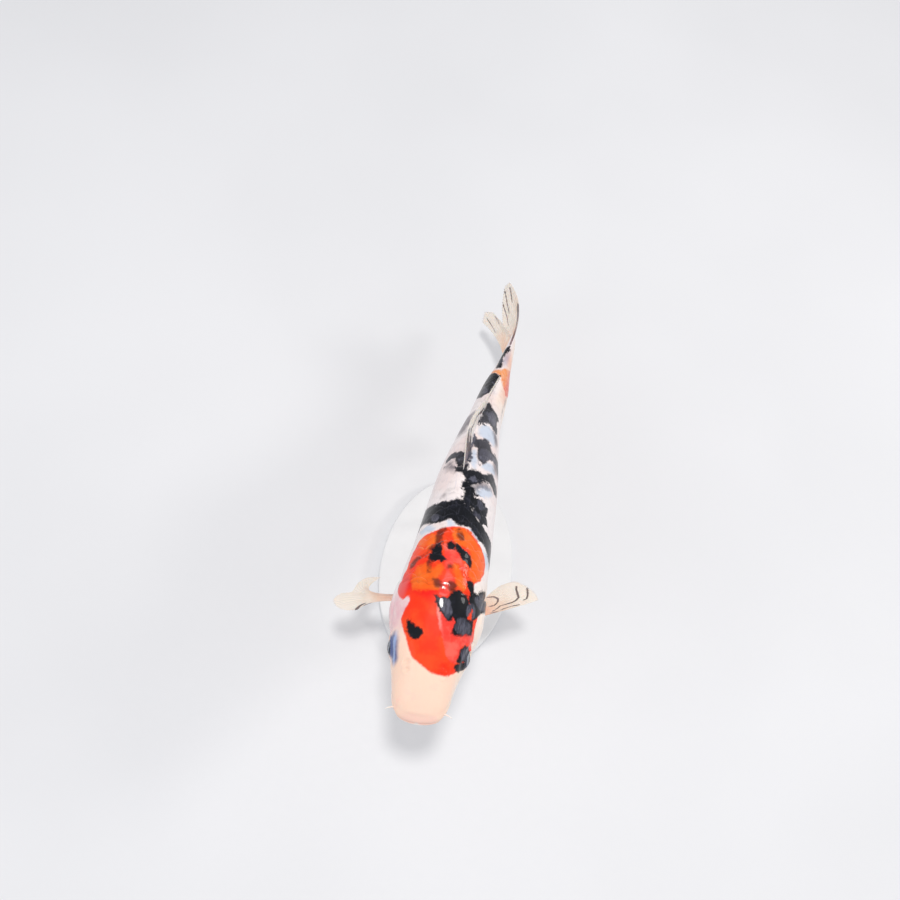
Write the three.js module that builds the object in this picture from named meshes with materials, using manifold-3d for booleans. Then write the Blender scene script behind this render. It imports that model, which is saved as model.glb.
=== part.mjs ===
// Koi carp, life size, on a display stand.
// Millimetres, +Z up. The head points towards -Y and the fish's right side towards -X.
// The origin is the centre of the underside of the stand's base.
//
// The fish is laid out along its own midline. A place on it is (station, side, height), each in
// percent of the standard length: station runs from just behind the lips (0) to the root of the
// tail fin (100), side is positive on the fish's left, and height is measured up from the midline.

import * as THREE from 'three';
import { mergeVertices } from 'three/addons/utils/BufferGeometryUtils.js';
import Module from 'manifold-3d';

// ---- driving dimensions -------------------------------------------------------------------

const STANDARD_LENGTH = 245;
const UNIT = STANDARD_LENGTH / 100;
const GAP = 0.3;

// How the fish is held: head up by PITCH and leaning a little onto its right side by ROLL, with the
// midline at CENTRE_STATION above the origin.
const PITCH = THREE.MathUtils.degToRad(12);
const ROLL = THREE.MathUtils.degToRad(4);
const CENTRE_STATION = 43;
const CENTRE_HEIGHT = 86;

// The swimming bend: [station, heading] in degrees towards the left. The trunk waves gently to the
// left, and the tail fin sweeps back to the right.
const HEADING = [
  [0, -2.6], [15, -0.2], [30, 2.6], [45, 1.0], [60, 2.0], [75, 5.6], [90, 7.3], [100, 6.0],
];
const FIN_SWEEP = THREE.MathUtils.degToRad(62);
const FIN_SWEEP_START = 100;
const FIN_SWEEP_SPAN = 18;
// The midline is walked in short straight steps.
const MIDLINE_STEP = 0.5;
const MIDLINE_END = 130;

// Body outline: [station, value] in percent of the standard length.
const HALF_WIDTH = [
  [-0.8, 3.6], [2.2, 5.7], [8, 7.1], [12, 8.2], [17, 9.2], [22, 10.3], [28, 9.9], [35, 9.05],
  [45, 8.25], [55, 7.4], [65, 5.75], [75, 4.15], [80, 3.85], [85, 3.4], [92, 2.05], [100, 1.0],
];
const BACK = [
  [-0.8, 1.4], [2.4, 4.3], [8, 8.0], [15, 11.3], [23, 13.8], [35, 15.6], [48, 16.0], [60, 14.6],
  [75, 10.8], [85, 7.6], [92, 6.2], [100, 6.2],
];
const BELLY = [
  [-0.8, -2.2], [2.4, -4.2], [8, -6.4], [15, -9.0], [23, -11.2], [35, -13.0], [48, -13.4],
  [60, -12.2], [75, -9.0], [85, -6.4], [92, -5.6], [100, -6.0],
];
const SNOUT = -1;
const NOSE_ROUND = 1.5;
// Section fullness: below 1 a section is squarer than an ellipse.
const HEAD_FULLNESS = 0.88;
const TRUNK_FULLNESS = 0.95;
const FULLNESS_BLEND = [16, 34];
const SECTION_SIDES = 28;
// Stations crowd towards the snout, where the outline turns fastest.
const SNOUT_CROWDING = 1.7;

// Cuts between the head, the two parts of the trunk and the tail stem.
const SNOUT_START = SNOUT + 0.03;
const HEAD_END = 29.5;
const TRUNK_START = 14;
const TRUNK_SPLIT = 54;
const STEM_SPLIT = 80;
const BODY_END = 100.6;

// Side-view outlines of the head parts, [station, height]. The gill opening runs from above the
// nape, behind the gill cover, to below the throat.
const CLEAR_AHEAD = -12;
const CLEAR_BEHIND = 40;
const CLEAR_HEIGHT = 22;
const GILL_COVER = [
  [19.4, 6.0], [24.2, 6.6], [27.4, 3.9], [28.6, -0.8], [27.2, -5.6], [23.4, -9.0],
  [19.8, -9.6], [17.6, -6.8], [16.9, -1.5], [17.6, 3.0],
];
const GILL_OPENING = [
  [22.9, CLEAR_HEIGHT], [23.4, 14.2], [25.4, 9.0], [27.4, 3.9], [28.6, -0.8], [27.2, -5.6],
  [23.4, -9.0], [19.5, -11.4], [15.5, -CLEAR_HEIGHT],
];
const MOUTH_LINE = [[-4, 0.0], [-1, -0.3], [2.6, -1.0], [5.4, -2.2]];
const JAW_REAR = [[6.3, -3.5], [6.8, -6.5], [6.4, -10], [-4, -10]];
const COVER_THICKNESS = 2.0;
const OUTLINE_POINTS = 32;
const JAW_POINTS = 9;
const CUTTER_REACH = 24;

// Eyes.
const EYE_STATION = 13.3;
const EYE_HEIGHT = 3.0;
const EYE_RADIUS = 7.1;
const EYE_PROUD = 1.0;
const EYE_SEGMENTS = 12;

// Feelers: root place, bend point and tip in percent, with root and tip radius in millimetres.
const FEELERS = {
  upper: { root: [1.7, 4.4, 0.7], bend: [1.5, 6.4, 0.6], tip: [1.0, 7.4, 0.0], radii: [0.6, 0.3] },
  corner: { root: [5.4, 5.0, -2.6], bend: [6.2, 6.6, -5.4], tip: [9.4, 5.4, -8.8], radii: [0.8, 0.35] },
};
const FEELER_SIDES = 8;
const FEELER_STEPS = 6;

// Stand.
const BASE_LENGTH = 124;
const BASE_WIDTH = 84;
const BASE_HEIGHT = 8;
const BASE_BEVEL = 1;
const BASE_SEGMENTS = 16;
const ROD_RADIUS = 2.5;
const ROD_PLACES = { front: -33, rear: 33 };
const ROD_SIDES = 16;
const COLLAR_RADIUS = 6;
const COLLAR_HEIGHT = 5;
const COLLAR_BEVEL = 1;

// ---- small mathematics ---------------------------------------------------------------------

function smoothStep(low, high, value) {
  const t = THREE.MathUtils.clamp((value - low) / (high - low), 0, 1);
  return t * t * (3 - 2 * t);
}

// Monotone cubic through the points of a table.
function curveValue(table, at) {
  const last = table.length - 1;
  const x = THREE.MathUtils.clamp(at, table[0][0], table[last][0]);
  let i = 0;
  while (i < last - 1 && x > table[i + 1][0]) i += 1;
  const slope = (k) => (table[k + 1][1] - table[k][1]) / (table[k + 1][0] - table[k][0]);
  const tangent = (k) => {
    if (k === 0) return slope(0);
    if (k === last) return slope(last - 1);
    const before = slope(k - 1);
    const after = slope(k);
    return before * after <= 0 ? 0 : (2 * before * after) / (before + after);
  };
  const width = table[i + 1][0] - table[i][0];
  const t = (x - table[i][0]) / width;
  const rise = table[i + 1][1] - table[i][1];
  const a = width * tangent(i) - rise;
  const b = rise - width * tangent(i + 1);
  return table[i][1] + t * rise + t * (1 - t) * (a * (1 - t) + b * t);
}

// ---- the midline and its frame -----------------------------------------------------------------

function heading(station) {
  const fin = (station - FIN_SWEEP_START) / FIN_SWEEP_SPAN;
  const trunk = THREE.MathUtils.degToRad(curveValue(HEADING, station));
  return trunk - FIN_SWEEP * THREE.MathUtils.clamp(fin, 0, 1);
}

const midlinePoints = [[0, 0]];
for (let station = 0; station < MIDLINE_END; station += MIDLINE_STEP) {
  const angle = heading(station + MIDLINE_STEP / 2);
  const [side, along] = midlinePoints[midlinePoints.length - 1];
  midlinePoints.push([side + MIDLINE_STEP * Math.sin(angle), along + MIDLINE_STEP * Math.cos(angle)]);
}

function midline(station) {
  const at = Math.max(station, 0) / MIDLINE_STEP;
  const i = Math.min(Math.floor(at), midlinePoints.length - 2);
  const t = at - i;
  const side = midlinePoints[i][0] * (1 - t) + midlinePoints[i + 1][0] * t;
  const along = midlinePoints[i][1] * (1 - t) + midlinePoints[i + 1][1] * t;
  return [side, station < 0 ? station : along];
}

// From the fish's own axes, in percent, to the stand's axes in millimetres.
function toStand(side, along, height) {
  const [centreSide, centreAlong] = midline(CENTRE_STATION);
  const out = side - centreSide;
  const across = out * Math.cos(ROLL) - height * Math.sin(ROLL);
  const up = height * Math.cos(ROLL) + out * Math.sin(ROLL);
  const back = along - centreAlong;
  return new THREE.Vector3(
    across * UNIT,
    (back * Math.cos(PITCH) + up * Math.sin(PITCH)) * UNIT,
    (up * Math.cos(PITCH) - back * Math.sin(PITCH)) * UNIT + CENTRE_HEIGHT,
  );
}

function place(station, side, height) {
  const angle = heading(station);
  const [centreSide, centreAlong] = midline(station);
  return toStand(centreSide + side * Math.cos(angle), centreAlong - side * Math.sin(angle), height);
}

// ---- the body surface ----------------------------------------------------------------------------

// A point on the body's section at a station. The angle is 0 on the back and 90 degrees on the
// fish's left side. growth, in millimetres, moves the surface out.
function sectionOffset(station, angle, growth = 0) {
  const round = THREE.MathUtils.clamp((station - SNOUT) / NOSE_ROUND, 0, 1);
  const nose = Math.sqrt(1 - (1 - round) ** 2);
  const grown = growth / UNIT;
  const top = curveValue(BACK, station);
  const bottom = curveValue(BELLY, station);
  const middle = (top + bottom) / 2;
  const halfHeight = ((top - bottom) / 2) * nose + grown;
  const halfWidth = curveValue(HALF_WIDTH, station) * nose + grown;
  const trunk = smoothStep(FULLNESS_BLEND[0], FULLNESS_BLEND[1], station);
  const fullness = HEAD_FULLNESS + (TRUNK_FULLNESS - HEAD_FULLNESS) * trunk;
  const shaped = (value) => Math.sign(value) * Math.abs(value) ** fullness;
  return [halfWidth * shaped(Math.sin(angle)), middle + halfHeight * shaped(Math.cos(angle))];
}

function bodyPoint(station, angle, growth = 0) {
  const [side, height] = sectionOffset(station, angle, growth);
  return place(station, side, height);
}

// ---- closed meshes -----------------------------------------------------------------------------

function signedVolume(positions, indices) {
  let volume = 0;
  for (let i = 0; i < indices.length; i += 3) {
    const [a, b, c] = [positions[indices[i]], positions[indices[i + 1]], positions[indices[i + 2]]];
    volume += a.dot(new THREE.Vector3().crossVectors(b, c)) / 6;
  }
  return volume;
}

function closedGeometry(positions, indices) {
  const order = indices.slice();
  if (signedVolume(positions, order) < 0) {
    for (let i = 0; i < order.length; i += 3) {
      [order[i + 1], order[i + 2]] = [order[i + 2], order[i + 1]];
    }
  }
  const geometry = new THREE.BufferGeometry();
  const flat = positions.flatMap((p) => [p.x, p.y, p.z]);
  geometry.setAttribute('position', new THREE.Float32BufferAttribute(flat, 3));
  geometry.setIndex(order);
  return geometry;
}

// A skin over a row of rings with the same number of points, closed by a fan at each end.
function loft(rings) {
  const count = rings[0].length;
  const positions = rings.flat();
  const indices = [];
  for (let r = 0; r < rings.length - 1; r += 1) {
    for (let i = 0; i < count; i += 1) {
      const next = (i + 1) % count;
      const [a, b] = [r * count + i, r * count + next];
      indices.push(a, b, b + count, a, b + count, a + count);
    }
  }
  for (const [ring, flip] of [[0, true], [rings.length - 1, false]]) {
    const centre = new THREE.Vector3();
    rings[ring].forEach((point) => centre.addScaledVector(point, 1 / count));
    positions.push(centre);
    const hub = positions.length - 1;
    for (let i = 0; i < count; i += 1) {
      const [a, b] = [ring * count + i, ring * count + ((i + 1) % count)];
      indices.push(...(flip ? [hub, b, a] : [hub, a, b]));
    }
  }
  return closedGeometry(positions, indices);
}

// A sheet of varying thickness over a patch point(u, v), with u from root to margin.
const NORMAL_STEP = 1e-3;

function sheet(point, thickness, stepsU, stepsV) {
  const positions = [];
  for (const face of [1, -1]) {
    for (let i = 0; i <= stepsU; i += 1) {
      for (let j = 0; j <= stepsV; j += 1) {
        const [u, v] = [i / stepsU, j / stepsV];
        const alongU = point(u + NORMAL_STEP, v).sub(point(u - NORMAL_STEP, v));
        const alongV = point(u, v + NORMAL_STEP).sub(point(u, v - NORMAL_STEP));
        const normal = alongU.cross(alongV).normalize();
        positions.push(point(u, v).addScaledVector(normal, (face * thickness(u, v)) / 2));
      }
    }
  }
  const row = stepsV + 1;
  const other = (stepsU + 1) * row;
  const indices = [];
  for (let i = 0; i < stepsU; i += 1) {
    for (let j = 0; j < stepsV; j += 1) {
      const a = i * row + j;
      const [b, c, d] = [a + 1, a + row + 1, a + row];
      indices.push(a, b, c, a, c, d);
      indices.push(a + other, c + other, b + other, a + other, d + other, c + other);
    }
  }
  const rim = [];
  for (let j = 0; j < stepsV; j += 1) rim.push(j);
  for (let i = 0; i < stepsU; i += 1) rim.push(i * row + stepsV);
  for (let j = stepsV; j > 0; j -= 1) rim.push(stepsU * row + j);
  for (let i = stepsU; i > 0; i -= 1) rim.push(i * row);
  rim.forEach((a, k) => {
    const b = rim[(k + 1) % rim.length];
    indices.push(b, a, a + other, b, a + other, b + other);
  });
  return closedGeometry(positions, indices);
}

// ---- booleans ------------------------------------------------------------------------------------

const wasm = await Module();
wasm.setup();

function toSolid(geometry) {
  const bare = geometry.clone();
  bare.deleteAttribute('normal');
  bare.deleteAttribute('uv');
  const merged = mergeVertices(bare, 1e-4);
  const vertProperties = Float32Array.from(merged.attributes.position.array);
  const triVerts = Uint32Array.from(merged.index.array);
  return new wasm.Manifold(new wasm.Mesh({ numProp: 3, vertProperties, triVerts }));
}

function toGeometry(solid) {
  const mesh = solid.getMesh();
  const geometry = new THREE.BufferGeometry();
  geometry.setAttribute('position', new THREE.Float32BufferAttribute(mesh.vertProperties, 3));
  geometry.setIndex(Array.from(mesh.triVerts));
  return geometry;
}

// A closed side-view outline of [station, height] points carried right through the head.
function sidePrism(outline, fromSide = -CUTTER_REACH, toSide = CUTTER_REACH) {
  const ring = (side) => outline.map(([station, height]) => toStand(side, station, height));
  const rings = [ring(fromSide), ring(toSide)];
  const shape = outline.map(([station, height]) => new THREE.Vector2(station, height));
  const faces = THREE.ShapeUtils.triangulateShape(shape, []);
  const count = outline.length;
  const indices = [];
  for (let i = 0; i < count; i += 1) {
    const next = (i + 1) % count;
    indices.push(i, next, next + count, i, next + count, i + count);
  }
  const turning = THREE.ShapeUtils.isClockWise(shape);
  for (const [a, b, c] of faces) {
    indices.push(...(turning ? [a, b, c] : [a, c, b]));
    indices.push(...(turning ? [a + count, c + count, b + count] : [a + count, b + count, c + count]));
  }
  return toSolid(closedGeometry(rings.flat(), indices));
}

function smoothOutline(points, closed, count = OUTLINE_POINTS) {
  const curve = new THREE.CatmullRomCurve3(
    points.map(([x, y]) => new THREE.Vector3(x, y, 0)), closed, 'centripetal');
  const result = curve.getPoints(count).map((p) => [p.x, p.y]);
  return closed ? result.slice(0, -1) : result;
}

// Moves a counter-clockwise closed outline outwards by a distance in millimetres.
function offsetOutline(outline, distance) {
  const step = distance / UNIT;
  return outline.map(([x, y], i) => {
    const [ax, ay] = outline[(i + outline.length - 1) % outline.length];
    const [bx, by] = outline[(i + 1) % outline.length];
    const length = Math.hypot(bx - ax, by - ay);
    return [x + ((by - ay) / length) * step, y - ((bx - ax) / length) * step];
  });
}

// ---- body parts ------------------------------------------------------------------------------

function bodyLoft(fromStation, toStation, steps, growth = 0) {
  const rings = [];
  for (let i = 0; i <= steps; i += 1) {
    const t = i / steps;
    const eased = fromStation < 0 ? t ** SNOUT_CROWDING : t;
    const station = fromStation + (toStation - fromStation) * eased;
    const ring = [];
    for (let k = 0; k < SECTION_SIDES; k += 1) {
      ring.push(bodyPoint(station, (2 * Math.PI * (k + 0.5)) / SECTION_SIDES, growth));
    }
    rings.push(ring);
  }
  return loft(rings);
}

const wholeHead = toSolid(bodyLoft(SNOUT_START, HEAD_END, 17));
const headCore = toSolid(bodyLoft(SNOUT_START, HEAD_END + 1, 17, -COVER_THICKNESS));
const headInnerCore = toSolid(bodyLoft(SNOUT_START, HEAD_END + 1, 17, -COVER_THICKNESS - GAP));
const frontGuard = toSolid(bodyLoft(SNOUT_START, TRUNK_SPLIT, 26, GAP));
const rearGuard = toSolid(bodyLoft(TRUNK_SPLIT - 1, BODY_END, 14, GAP));

const coverOutline = smoothOutline(GILL_COVER.slice().reverse(), true);
const coverPrism = sidePrism(coverOutline);
const coverSlot = sidePrism(offsetOutline(coverOutline, GAP));
const openingLine = smoothOutline(GILL_OPENING, false);
const clearOfSnout = [[CLEAR_AHEAD, -CLEAR_HEIGHT], [CLEAR_AHEAD, CLEAR_HEIGHT]];
const headPrism = sidePrism([...openingLine, ...clearOfSnout]);
const shoulderLine = openingLine.map(([station, height]) => [station + GAP / UNIT, height]);
const shoulderPrism = sidePrism([...shoulderLine, ...clearOfSnout]);
const jawOutline = [...smoothOutline(MOUTH_LINE, false, JAW_POINTS), ...JAW_REAR].reverse();
const jawPrism = sidePrism(jawOutline);
const jawSlot = sidePrism(offsetOutline(jawOutline, GAP));
const behindHead = [[CLEAR_BEHIND, CLEAR_HEIGHT], [CLEAR_BEHIND, -CLEAR_HEIGHT]];
const leftHalf = sidePrism([...behindHead, ...clearOfSnout], 0, CUTTER_REACH);
const rightHalf = sidePrism([...behindHead, ...clearOfSnout], -CUTTER_REACH, 0);

function eyeBall(hand, growth) {
  const [outer] = sectionOffset(EYE_STATION, Math.PI / 2);
  const depth = (EYE_RADIUS - EYE_PROUD) / UNIT;
  const ball = new THREE.SphereGeometry(EYE_RADIUS + growth, EYE_SEGMENTS, EYE_SEGMENTS / 2);
  const centre = place(EYE_STATION, hand * (outer - depth), EYE_HEIGHT);
  ball.rotateZ(Math.PI / 2);
  ball.translate(centre.x, centre.y, centre.z);
  return ball;
}

function head() {
  let solid = wholeHead.intersect(headPrism);
  solid = solid.subtract(coverSlot.subtract(headInnerCore));
  solid = solid.subtract(jawSlot);
  for (const hand of [1, -1]) solid = solid.subtract(toSolid(eyeBall(hand, GAP)));
  return toGeometry(solid);
}

function lowerJaw() {
  return toGeometry(wholeHead.intersect(jawPrism));
}

function gillCover(half) {
  return toGeometry(wholeHead.intersect(coverPrism).intersect(half).subtract(headCore));
}

function trunkFront() {
  const whole = toSolid(bodyLoft(TRUNK_START, TRUNK_SPLIT - GAP / 2 / UNIT, 16));
  return toGeometry(whole.subtract(shoulderPrism).subtract(coverSlot));
}

function trunkRear() {
  return bodyLoft(TRUNK_SPLIT + GAP / 2 / UNIT, STEM_SPLIT - GAP / 2 / UNIT, 9);
}

function tailStem() {
  return bodyLoft(STEM_SPLIT + GAP / 2 / UNIT, BODY_END, 8);
}

// ---- fins -------------------------------------------------------------------------------------

// Thickness runs from root to margin, in millimetres.
const THINNING = 0.7;

function finDepth(thickness) {
  return (u) => thickness[0] + (thickness[1] - thickness[0]) * u ** THINNING;
}

// A fin is a fan of bent rays. Each table runs over the fan, from the first ray to the last in even
// steps, and gives [station, side, height]: where the rays start, the places they bend towards on
// the way, and where they end. The side of a paired fin is measured outwards.

// The back fin is lowered: its rays lie back along the body.
const DORSAL = {
  root: [[50.4, -0.8, 14.6], [57, -0.3, 13.4], [64, -0.3, 12.0], [72, 0, 10.0], [80, 0.1, 7.6]],
  bend: [
    [53.6, -1.2, 17.0], [59.3, -1.2, 16.8], [65.4, -1.0, 15.0], [72.8, -0.1, 12.2], [82, 0.4, 8.9],
  ],
  margin: [
    [56.6, -1.6, 18.6], [61.4, -1.9, 19.2], [66.6, -1.4, 17.2], [73.6, -0.2, 13.9], [84.2, 0.8, 9.8],
  ],
  thickness: [1.6, 0.6],
  steps: [4, 12],
};
const ANAL = {
  root: [[75.2, 0, -7.4], [77.5, 0, -6.6], [80, 0, -6.2], [82.6, 0, -5.6]],
  bend: [[78.2, 0.2, -12.4], [81.4, 0.2, -11.4], [84, 0.2, -9.2], [86, 0.2, -7.2]],
  margin: [[82.4, 0.8, -16.2], [85.2, 0.8, -15.4], [87.4, 0.8, -11.6], [88.8, 0.8, -8.4]],
  thickness: [1.5, 0.6],
  steps: [4, 8],
};
const CAUDAL_UPPER = {
  root: [[99.6, 0, 0.1], [99.4, 0, 1.6], [98.8, 0, 3.2], [97.6, 0, 4.6], [96.2, 0, 5.9]],
  bend: [
    [104.6, 0, 0.12], [105.6, 0.1, 1.9], [106.4, 0.3, 4.9], [106.2, 0.8, 8.6], [104.7, 1.0, 12.0],
  ],
  margin: [
    [109.6, -2.0, 0.15], [111.8, -1.6, 2.0], [113.8, -0.8, 5.0], [114.9, 0.1, 8.6], [113.6, 0.4, 12],
  ],
  thickness: [2.2, 0.6],
  steps: [7, 8],
};
const CAUDAL_LOWER = {
  root: [[99.6, 0, -0.1], [99.4, 0, -1.6], [98.8, 0, -3.2], [97.8, 0, -4.4], [96.6, 0, -5.2]],
  bend: [
    [104.6, 0, -0.12], [107.3, -0.9, -2.0], [109.1, -2.5, -4.1], [109.8, -4.0, -6.2],
    [108.3, -4.5, -6.8],
  ],
  margin: [
    [109.6, -2.0, -0.15], [114.8, -1.3, -2.0], [118.6, 0.2, -4.2], [121, 0.4, -6.8],
    [120.8, -0.6, -9.4],
  ],
  thickness: [2.2, 0.6],
  steps: [7, 8],
};

// The left front fin is spread back and out. The right one is twisted on edge near its root, and
// opens into a lobe in front and a lobe behind.
const PECTORAL_ROOT = [[27.6, 8.4, -6.2], [30.4, 7.7, -8.6]];
const PECTORALS = {
  left: {
    root: PECTORAL_ROOT,
    bend: [[30.9, 14.3, -6.6], [33.3, 12.5, -8.0], [35.5, 9.6, -9.2]],
    margin: [
      [36.1, 21.8, -8.0], [37.4, 20.9, -8.2], [39.1, 18.3, -8.7], [39.9, 15.6, -9.3],
      [38.5, 12.5, -10.0],
    ],
    thickness: [1.9, 0.6],
    steps: [6, 9],
  },
  right: {
    root: PECTORAL_ROOT,
    bend: [
      [26.5, 15.8, -6.4], [27, 17.2, -7.4], [27.5, 18.2, -8.2], [27.1, 20.8, -9.2],
      [26.6, 22.7, -10.2],
    ],
    margin: [
      [23.9, 18.9, -9.0], [23.3, 21.7, -9.0], [23.7, 23.6, -9.2], [25.2, 25.1, -9.4],
      [27.0, 24.0, -9.4], [28.2, 21.2, -9.2], [30.9, 20.4, -9.7], [33.5, 18.3, -10.4],
      [34.8, 15.3, -11.4],
    ],
    thickness: [1.9, 0.6],
    steps: [7, 11],
  },
};
const PELVIC = {
  root: [[49.6, 3.8, -11.2], [51.4, 2.2, -12.0]],
  bend: [[55.6, 5.8, -13.4], [55, 2.8, -14.6]],
  margin: [[61.2, 7.0, -15.6], [62.6, 6.2, -16.4], [61.4, 4.4, -17.2], [58.8, 2.8, -16.8]],
  thickness: [1.7, 0.6],
  steps: [5, 6],
};

// A row of a table at v, from 0 at the first ray to 1 at the last.
function rowAt(table, v) {
  const axis = (k) => table.map((row, i) => [i / (table.length - 1), row[k]]);
  return [0, 1, 2].map((k) => curveValue(axis(k), v));
}

function fin({ root, bend, margin, thickness, steps }, hand = 1) {
  const point = (u, v) => {
    const [from, by, to] = [rowAt(root, v), rowAt(bend, v), rowAt(margin, v)];
    const [station, side, height] = from.map(
      (start, k) => start * (1 - u) ** 2 + by[k] * 2 * u * (1 - u) + to[k] * u * u);
    return place(station, hand * side, height);
  };
  return toSolid(sheet(point, finDepth(thickness), steps[0], steps[1]));
}

function fitted(solid) {
  return toGeometry(solid.subtract(frontGuard).subtract(rearGuard));
}

// ---- eyes and feelers ---------------------------------------------------------------------------

function feeler({ root, bend, tip, radii }, hand) {
  const [a, b, c] = [root, bend, tip].map(([station, side, height]) => place(station, hand * side, height));
  const curve = new THREE.QuadraticBezierCurve3(a, b, c);
  const rings = [];
  for (let i = 0; i <= FEELER_STEPS; i += 1) {
    const t = i / FEELER_STEPS;
    const along = curve.getTangent(t);
    const across = new THREE.Vector3(0, 0, 1).cross(along).normalize();
    const over = along.clone().cross(across);
    const radius = radii[0] + (radii[1] - radii[0]) * t;
    const ring = [];
    for (let k = 0; k < FEELER_SIDES; k += 1) {
      const turn = (2 * Math.PI * k) / FEELER_SIDES;
      const point = curve.getPoint(t);
      point.addScaledVector(across, radius * Math.cos(turn));
      point.addScaledVector(over, radius * Math.sin(turn));
      ring.push(point);
    }
    rings.push(ring);
  }
  return toGeometry(toSolid(loft(rings)).subtract(frontGuard));
}

// ---- stand -----------------------------------------------------------------------------------

function standBase() {
  const outline = new THREE.Shape();
  const [radiusX, radiusY] = [BASE_WIDTH / 2 - BASE_BEVEL, BASE_LENGTH / 2 - BASE_BEVEL];
  outline.absellipse(0, 0, radiusX, radiusY, 0, 2 * Math.PI);
  const geometry = new THREE.ExtrudeGeometry(outline, {
    depth: BASE_HEIGHT - 2 * BASE_BEVEL,
    bevelThickness: BASE_BEVEL,
    bevelSize: BASE_BEVEL,
    bevelSegments: 1,
    curveSegments: BASE_SEGMENTS,
  });
  geometry.translate(0, 0, BASE_BEVEL);
  return geometry;
}

function standCollar() {
  const inner = ROD_RADIUS + GAP;
  const bottom = BASE_HEIGHT + GAP;
  const top = bottom + COLLAR_HEIGHT;
  const profile = [
    [inner, bottom], [COLLAR_RADIUS, bottom], [COLLAR_RADIUS, top - COLLAR_BEVEL],
    [COLLAR_RADIUS - COLLAR_BEVEL, top], [inner, top], [inner, bottom],
  ].map(([radius, height]) => new THREE.Vector2(radius, height));
  const geometry = new THREE.LatheGeometry(profile, ROD_SIDES);
  geometry.rotateX(Math.PI / 2);
  return geometry;
}

function standRod(along) {
  const bottom = BASE_HEIGHT + GAP;
  const rod = new THREE.CylinderGeometry(ROD_RADIUS, ROD_RADIUS, CENTRE_HEIGHT - bottom, ROD_SIDES);
  rod.rotateX(Math.PI / 2);
  rod.translate(0, along, (CENTRE_HEIGHT + bottom) / 2);
  return toGeometry(toSolid(rod).subtract(frontGuard).subtract(rearGuard));
}

// ---- finishes and the assembled group -------------------------------------------------------------

const finish = (colour, roughness, metalness = 0) =>
  new THREE.MeshStandardMaterial({ color: colour, roughness, metalness });

const fish = new THREE.Group();

function add(name, geometry, material) {
  const mesh = new THREE.Mesh(geometry, material);
  mesh.name = name;
  fish.add(mesh);
  return mesh;
}

const HEAD_RED = 0xe8502a;
const CREAM = 0xf3ddd2;
const INK = 0x2a2a33;
const LILAC = 0xd9ccd4;
const FIN_PINK = 0xe6cfc9;
const EYE_DARK = 0x1c2026;
const STAND_WHITE = 0xd8d8d4;
const STEEL = 0x9a9c9e;

add('head', head(), finish(HEAD_RED, 0.35));
add('lower_jaw', lowerJaw(), finish(CREAM, 0.35));
add('gill_cover_left', gillCover(leftHalf), finish(CREAM, 0.3));
add('gill_cover_right', gillCover(rightHalf), finish(CREAM, 0.3));
add('trunk_front', trunkFront(), finish(INK, 0.35));
add('trunk_rear', trunkRear(), finish(LILAC, 0.35));
add('tail_stem', tailStem(), finish(LILAC, 0.35));
add('dorsal_fin', fitted(fin(DORSAL)), finish(FIN_PINK, 0.45));
add('anal_fin', fitted(fin(ANAL)), finish(FIN_PINK, 0.45));
add('caudal_fin_upper', fitted(fin(CAUDAL_UPPER)), finish(FIN_PINK, 0.45));
add('caudal_fin_lower', fitted(fin(CAUDAL_LOWER)), finish(FIN_PINK, 0.45));
for (const [side, hand] of [['left', 1], ['right', -1]]) {
  const pectoral = fitted(fin(PECTORALS[side], hand));
  add(`pectoral_fin_${side}`, pectoral, finish(FIN_PINK, 0.45));
  add(`pelvic_fin_${side}`, fitted(fin(PELVIC, hand)), finish(FIN_PINK, 0.45));
  add(`eye_${side}`, eyeBall(hand, 0), finish(EYE_DARK, 0.08));
  add(`feeler_upper_${side}`, feeler(FEELERS.upper, hand), finish(CREAM, 0.4));
  add(`feeler_corner_${side}`, feeler(FEELERS.corner, hand), finish(CREAM, 0.4));
}
add('stand_base', standBase(), finish(STAND_WHITE, 0.5));
for (const [name, along] of Object.entries(ROD_PLACES)) {
  add(`stand_collar_${name}`, standCollar(), finish(STEEL, 0.3, 1)).position.y = along;
  add(`stand_rod_${name}`, standRod(along), finish(STEEL, 0.3, 1));
}

export default fish;
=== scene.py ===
"""A koi carp, life size, held by a plain stand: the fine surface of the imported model.

The fish is laid out along its own midline, as the solids are. A place on it is (station, side,
height) in percent of the standard length: station runs from just behind the lips (0) to the root
of the tail fin (100), side is positive on the fish's left, and height is measured up from the
midline. Markings are drawn in (station, girth), where girth is the distance round the skin from
the ridge of the back, also in percent, positive on the fish's left.
"""

import math

import bpy
import numpy as np
from mathutils import Euler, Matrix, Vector


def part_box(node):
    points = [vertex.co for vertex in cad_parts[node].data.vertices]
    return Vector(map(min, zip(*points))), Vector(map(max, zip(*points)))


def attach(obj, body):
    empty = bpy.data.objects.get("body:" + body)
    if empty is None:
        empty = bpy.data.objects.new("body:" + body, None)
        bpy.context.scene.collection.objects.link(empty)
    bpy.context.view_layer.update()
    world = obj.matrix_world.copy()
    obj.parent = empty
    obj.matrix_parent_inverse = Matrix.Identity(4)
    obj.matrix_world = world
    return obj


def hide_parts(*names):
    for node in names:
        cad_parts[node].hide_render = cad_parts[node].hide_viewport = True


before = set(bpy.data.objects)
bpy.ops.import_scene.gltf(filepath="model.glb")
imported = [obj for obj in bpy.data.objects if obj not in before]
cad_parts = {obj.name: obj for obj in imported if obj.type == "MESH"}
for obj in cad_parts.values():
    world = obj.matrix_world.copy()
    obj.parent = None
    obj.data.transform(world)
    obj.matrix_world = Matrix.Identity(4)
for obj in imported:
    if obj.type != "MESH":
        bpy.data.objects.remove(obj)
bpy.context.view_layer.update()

random = np.random.default_rng(43)

# ---- driving dimensions ----

STANDARD_LENGTH = 0.245
UNIT = STANDARD_LENGTH / 100
MM = 0.001

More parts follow.
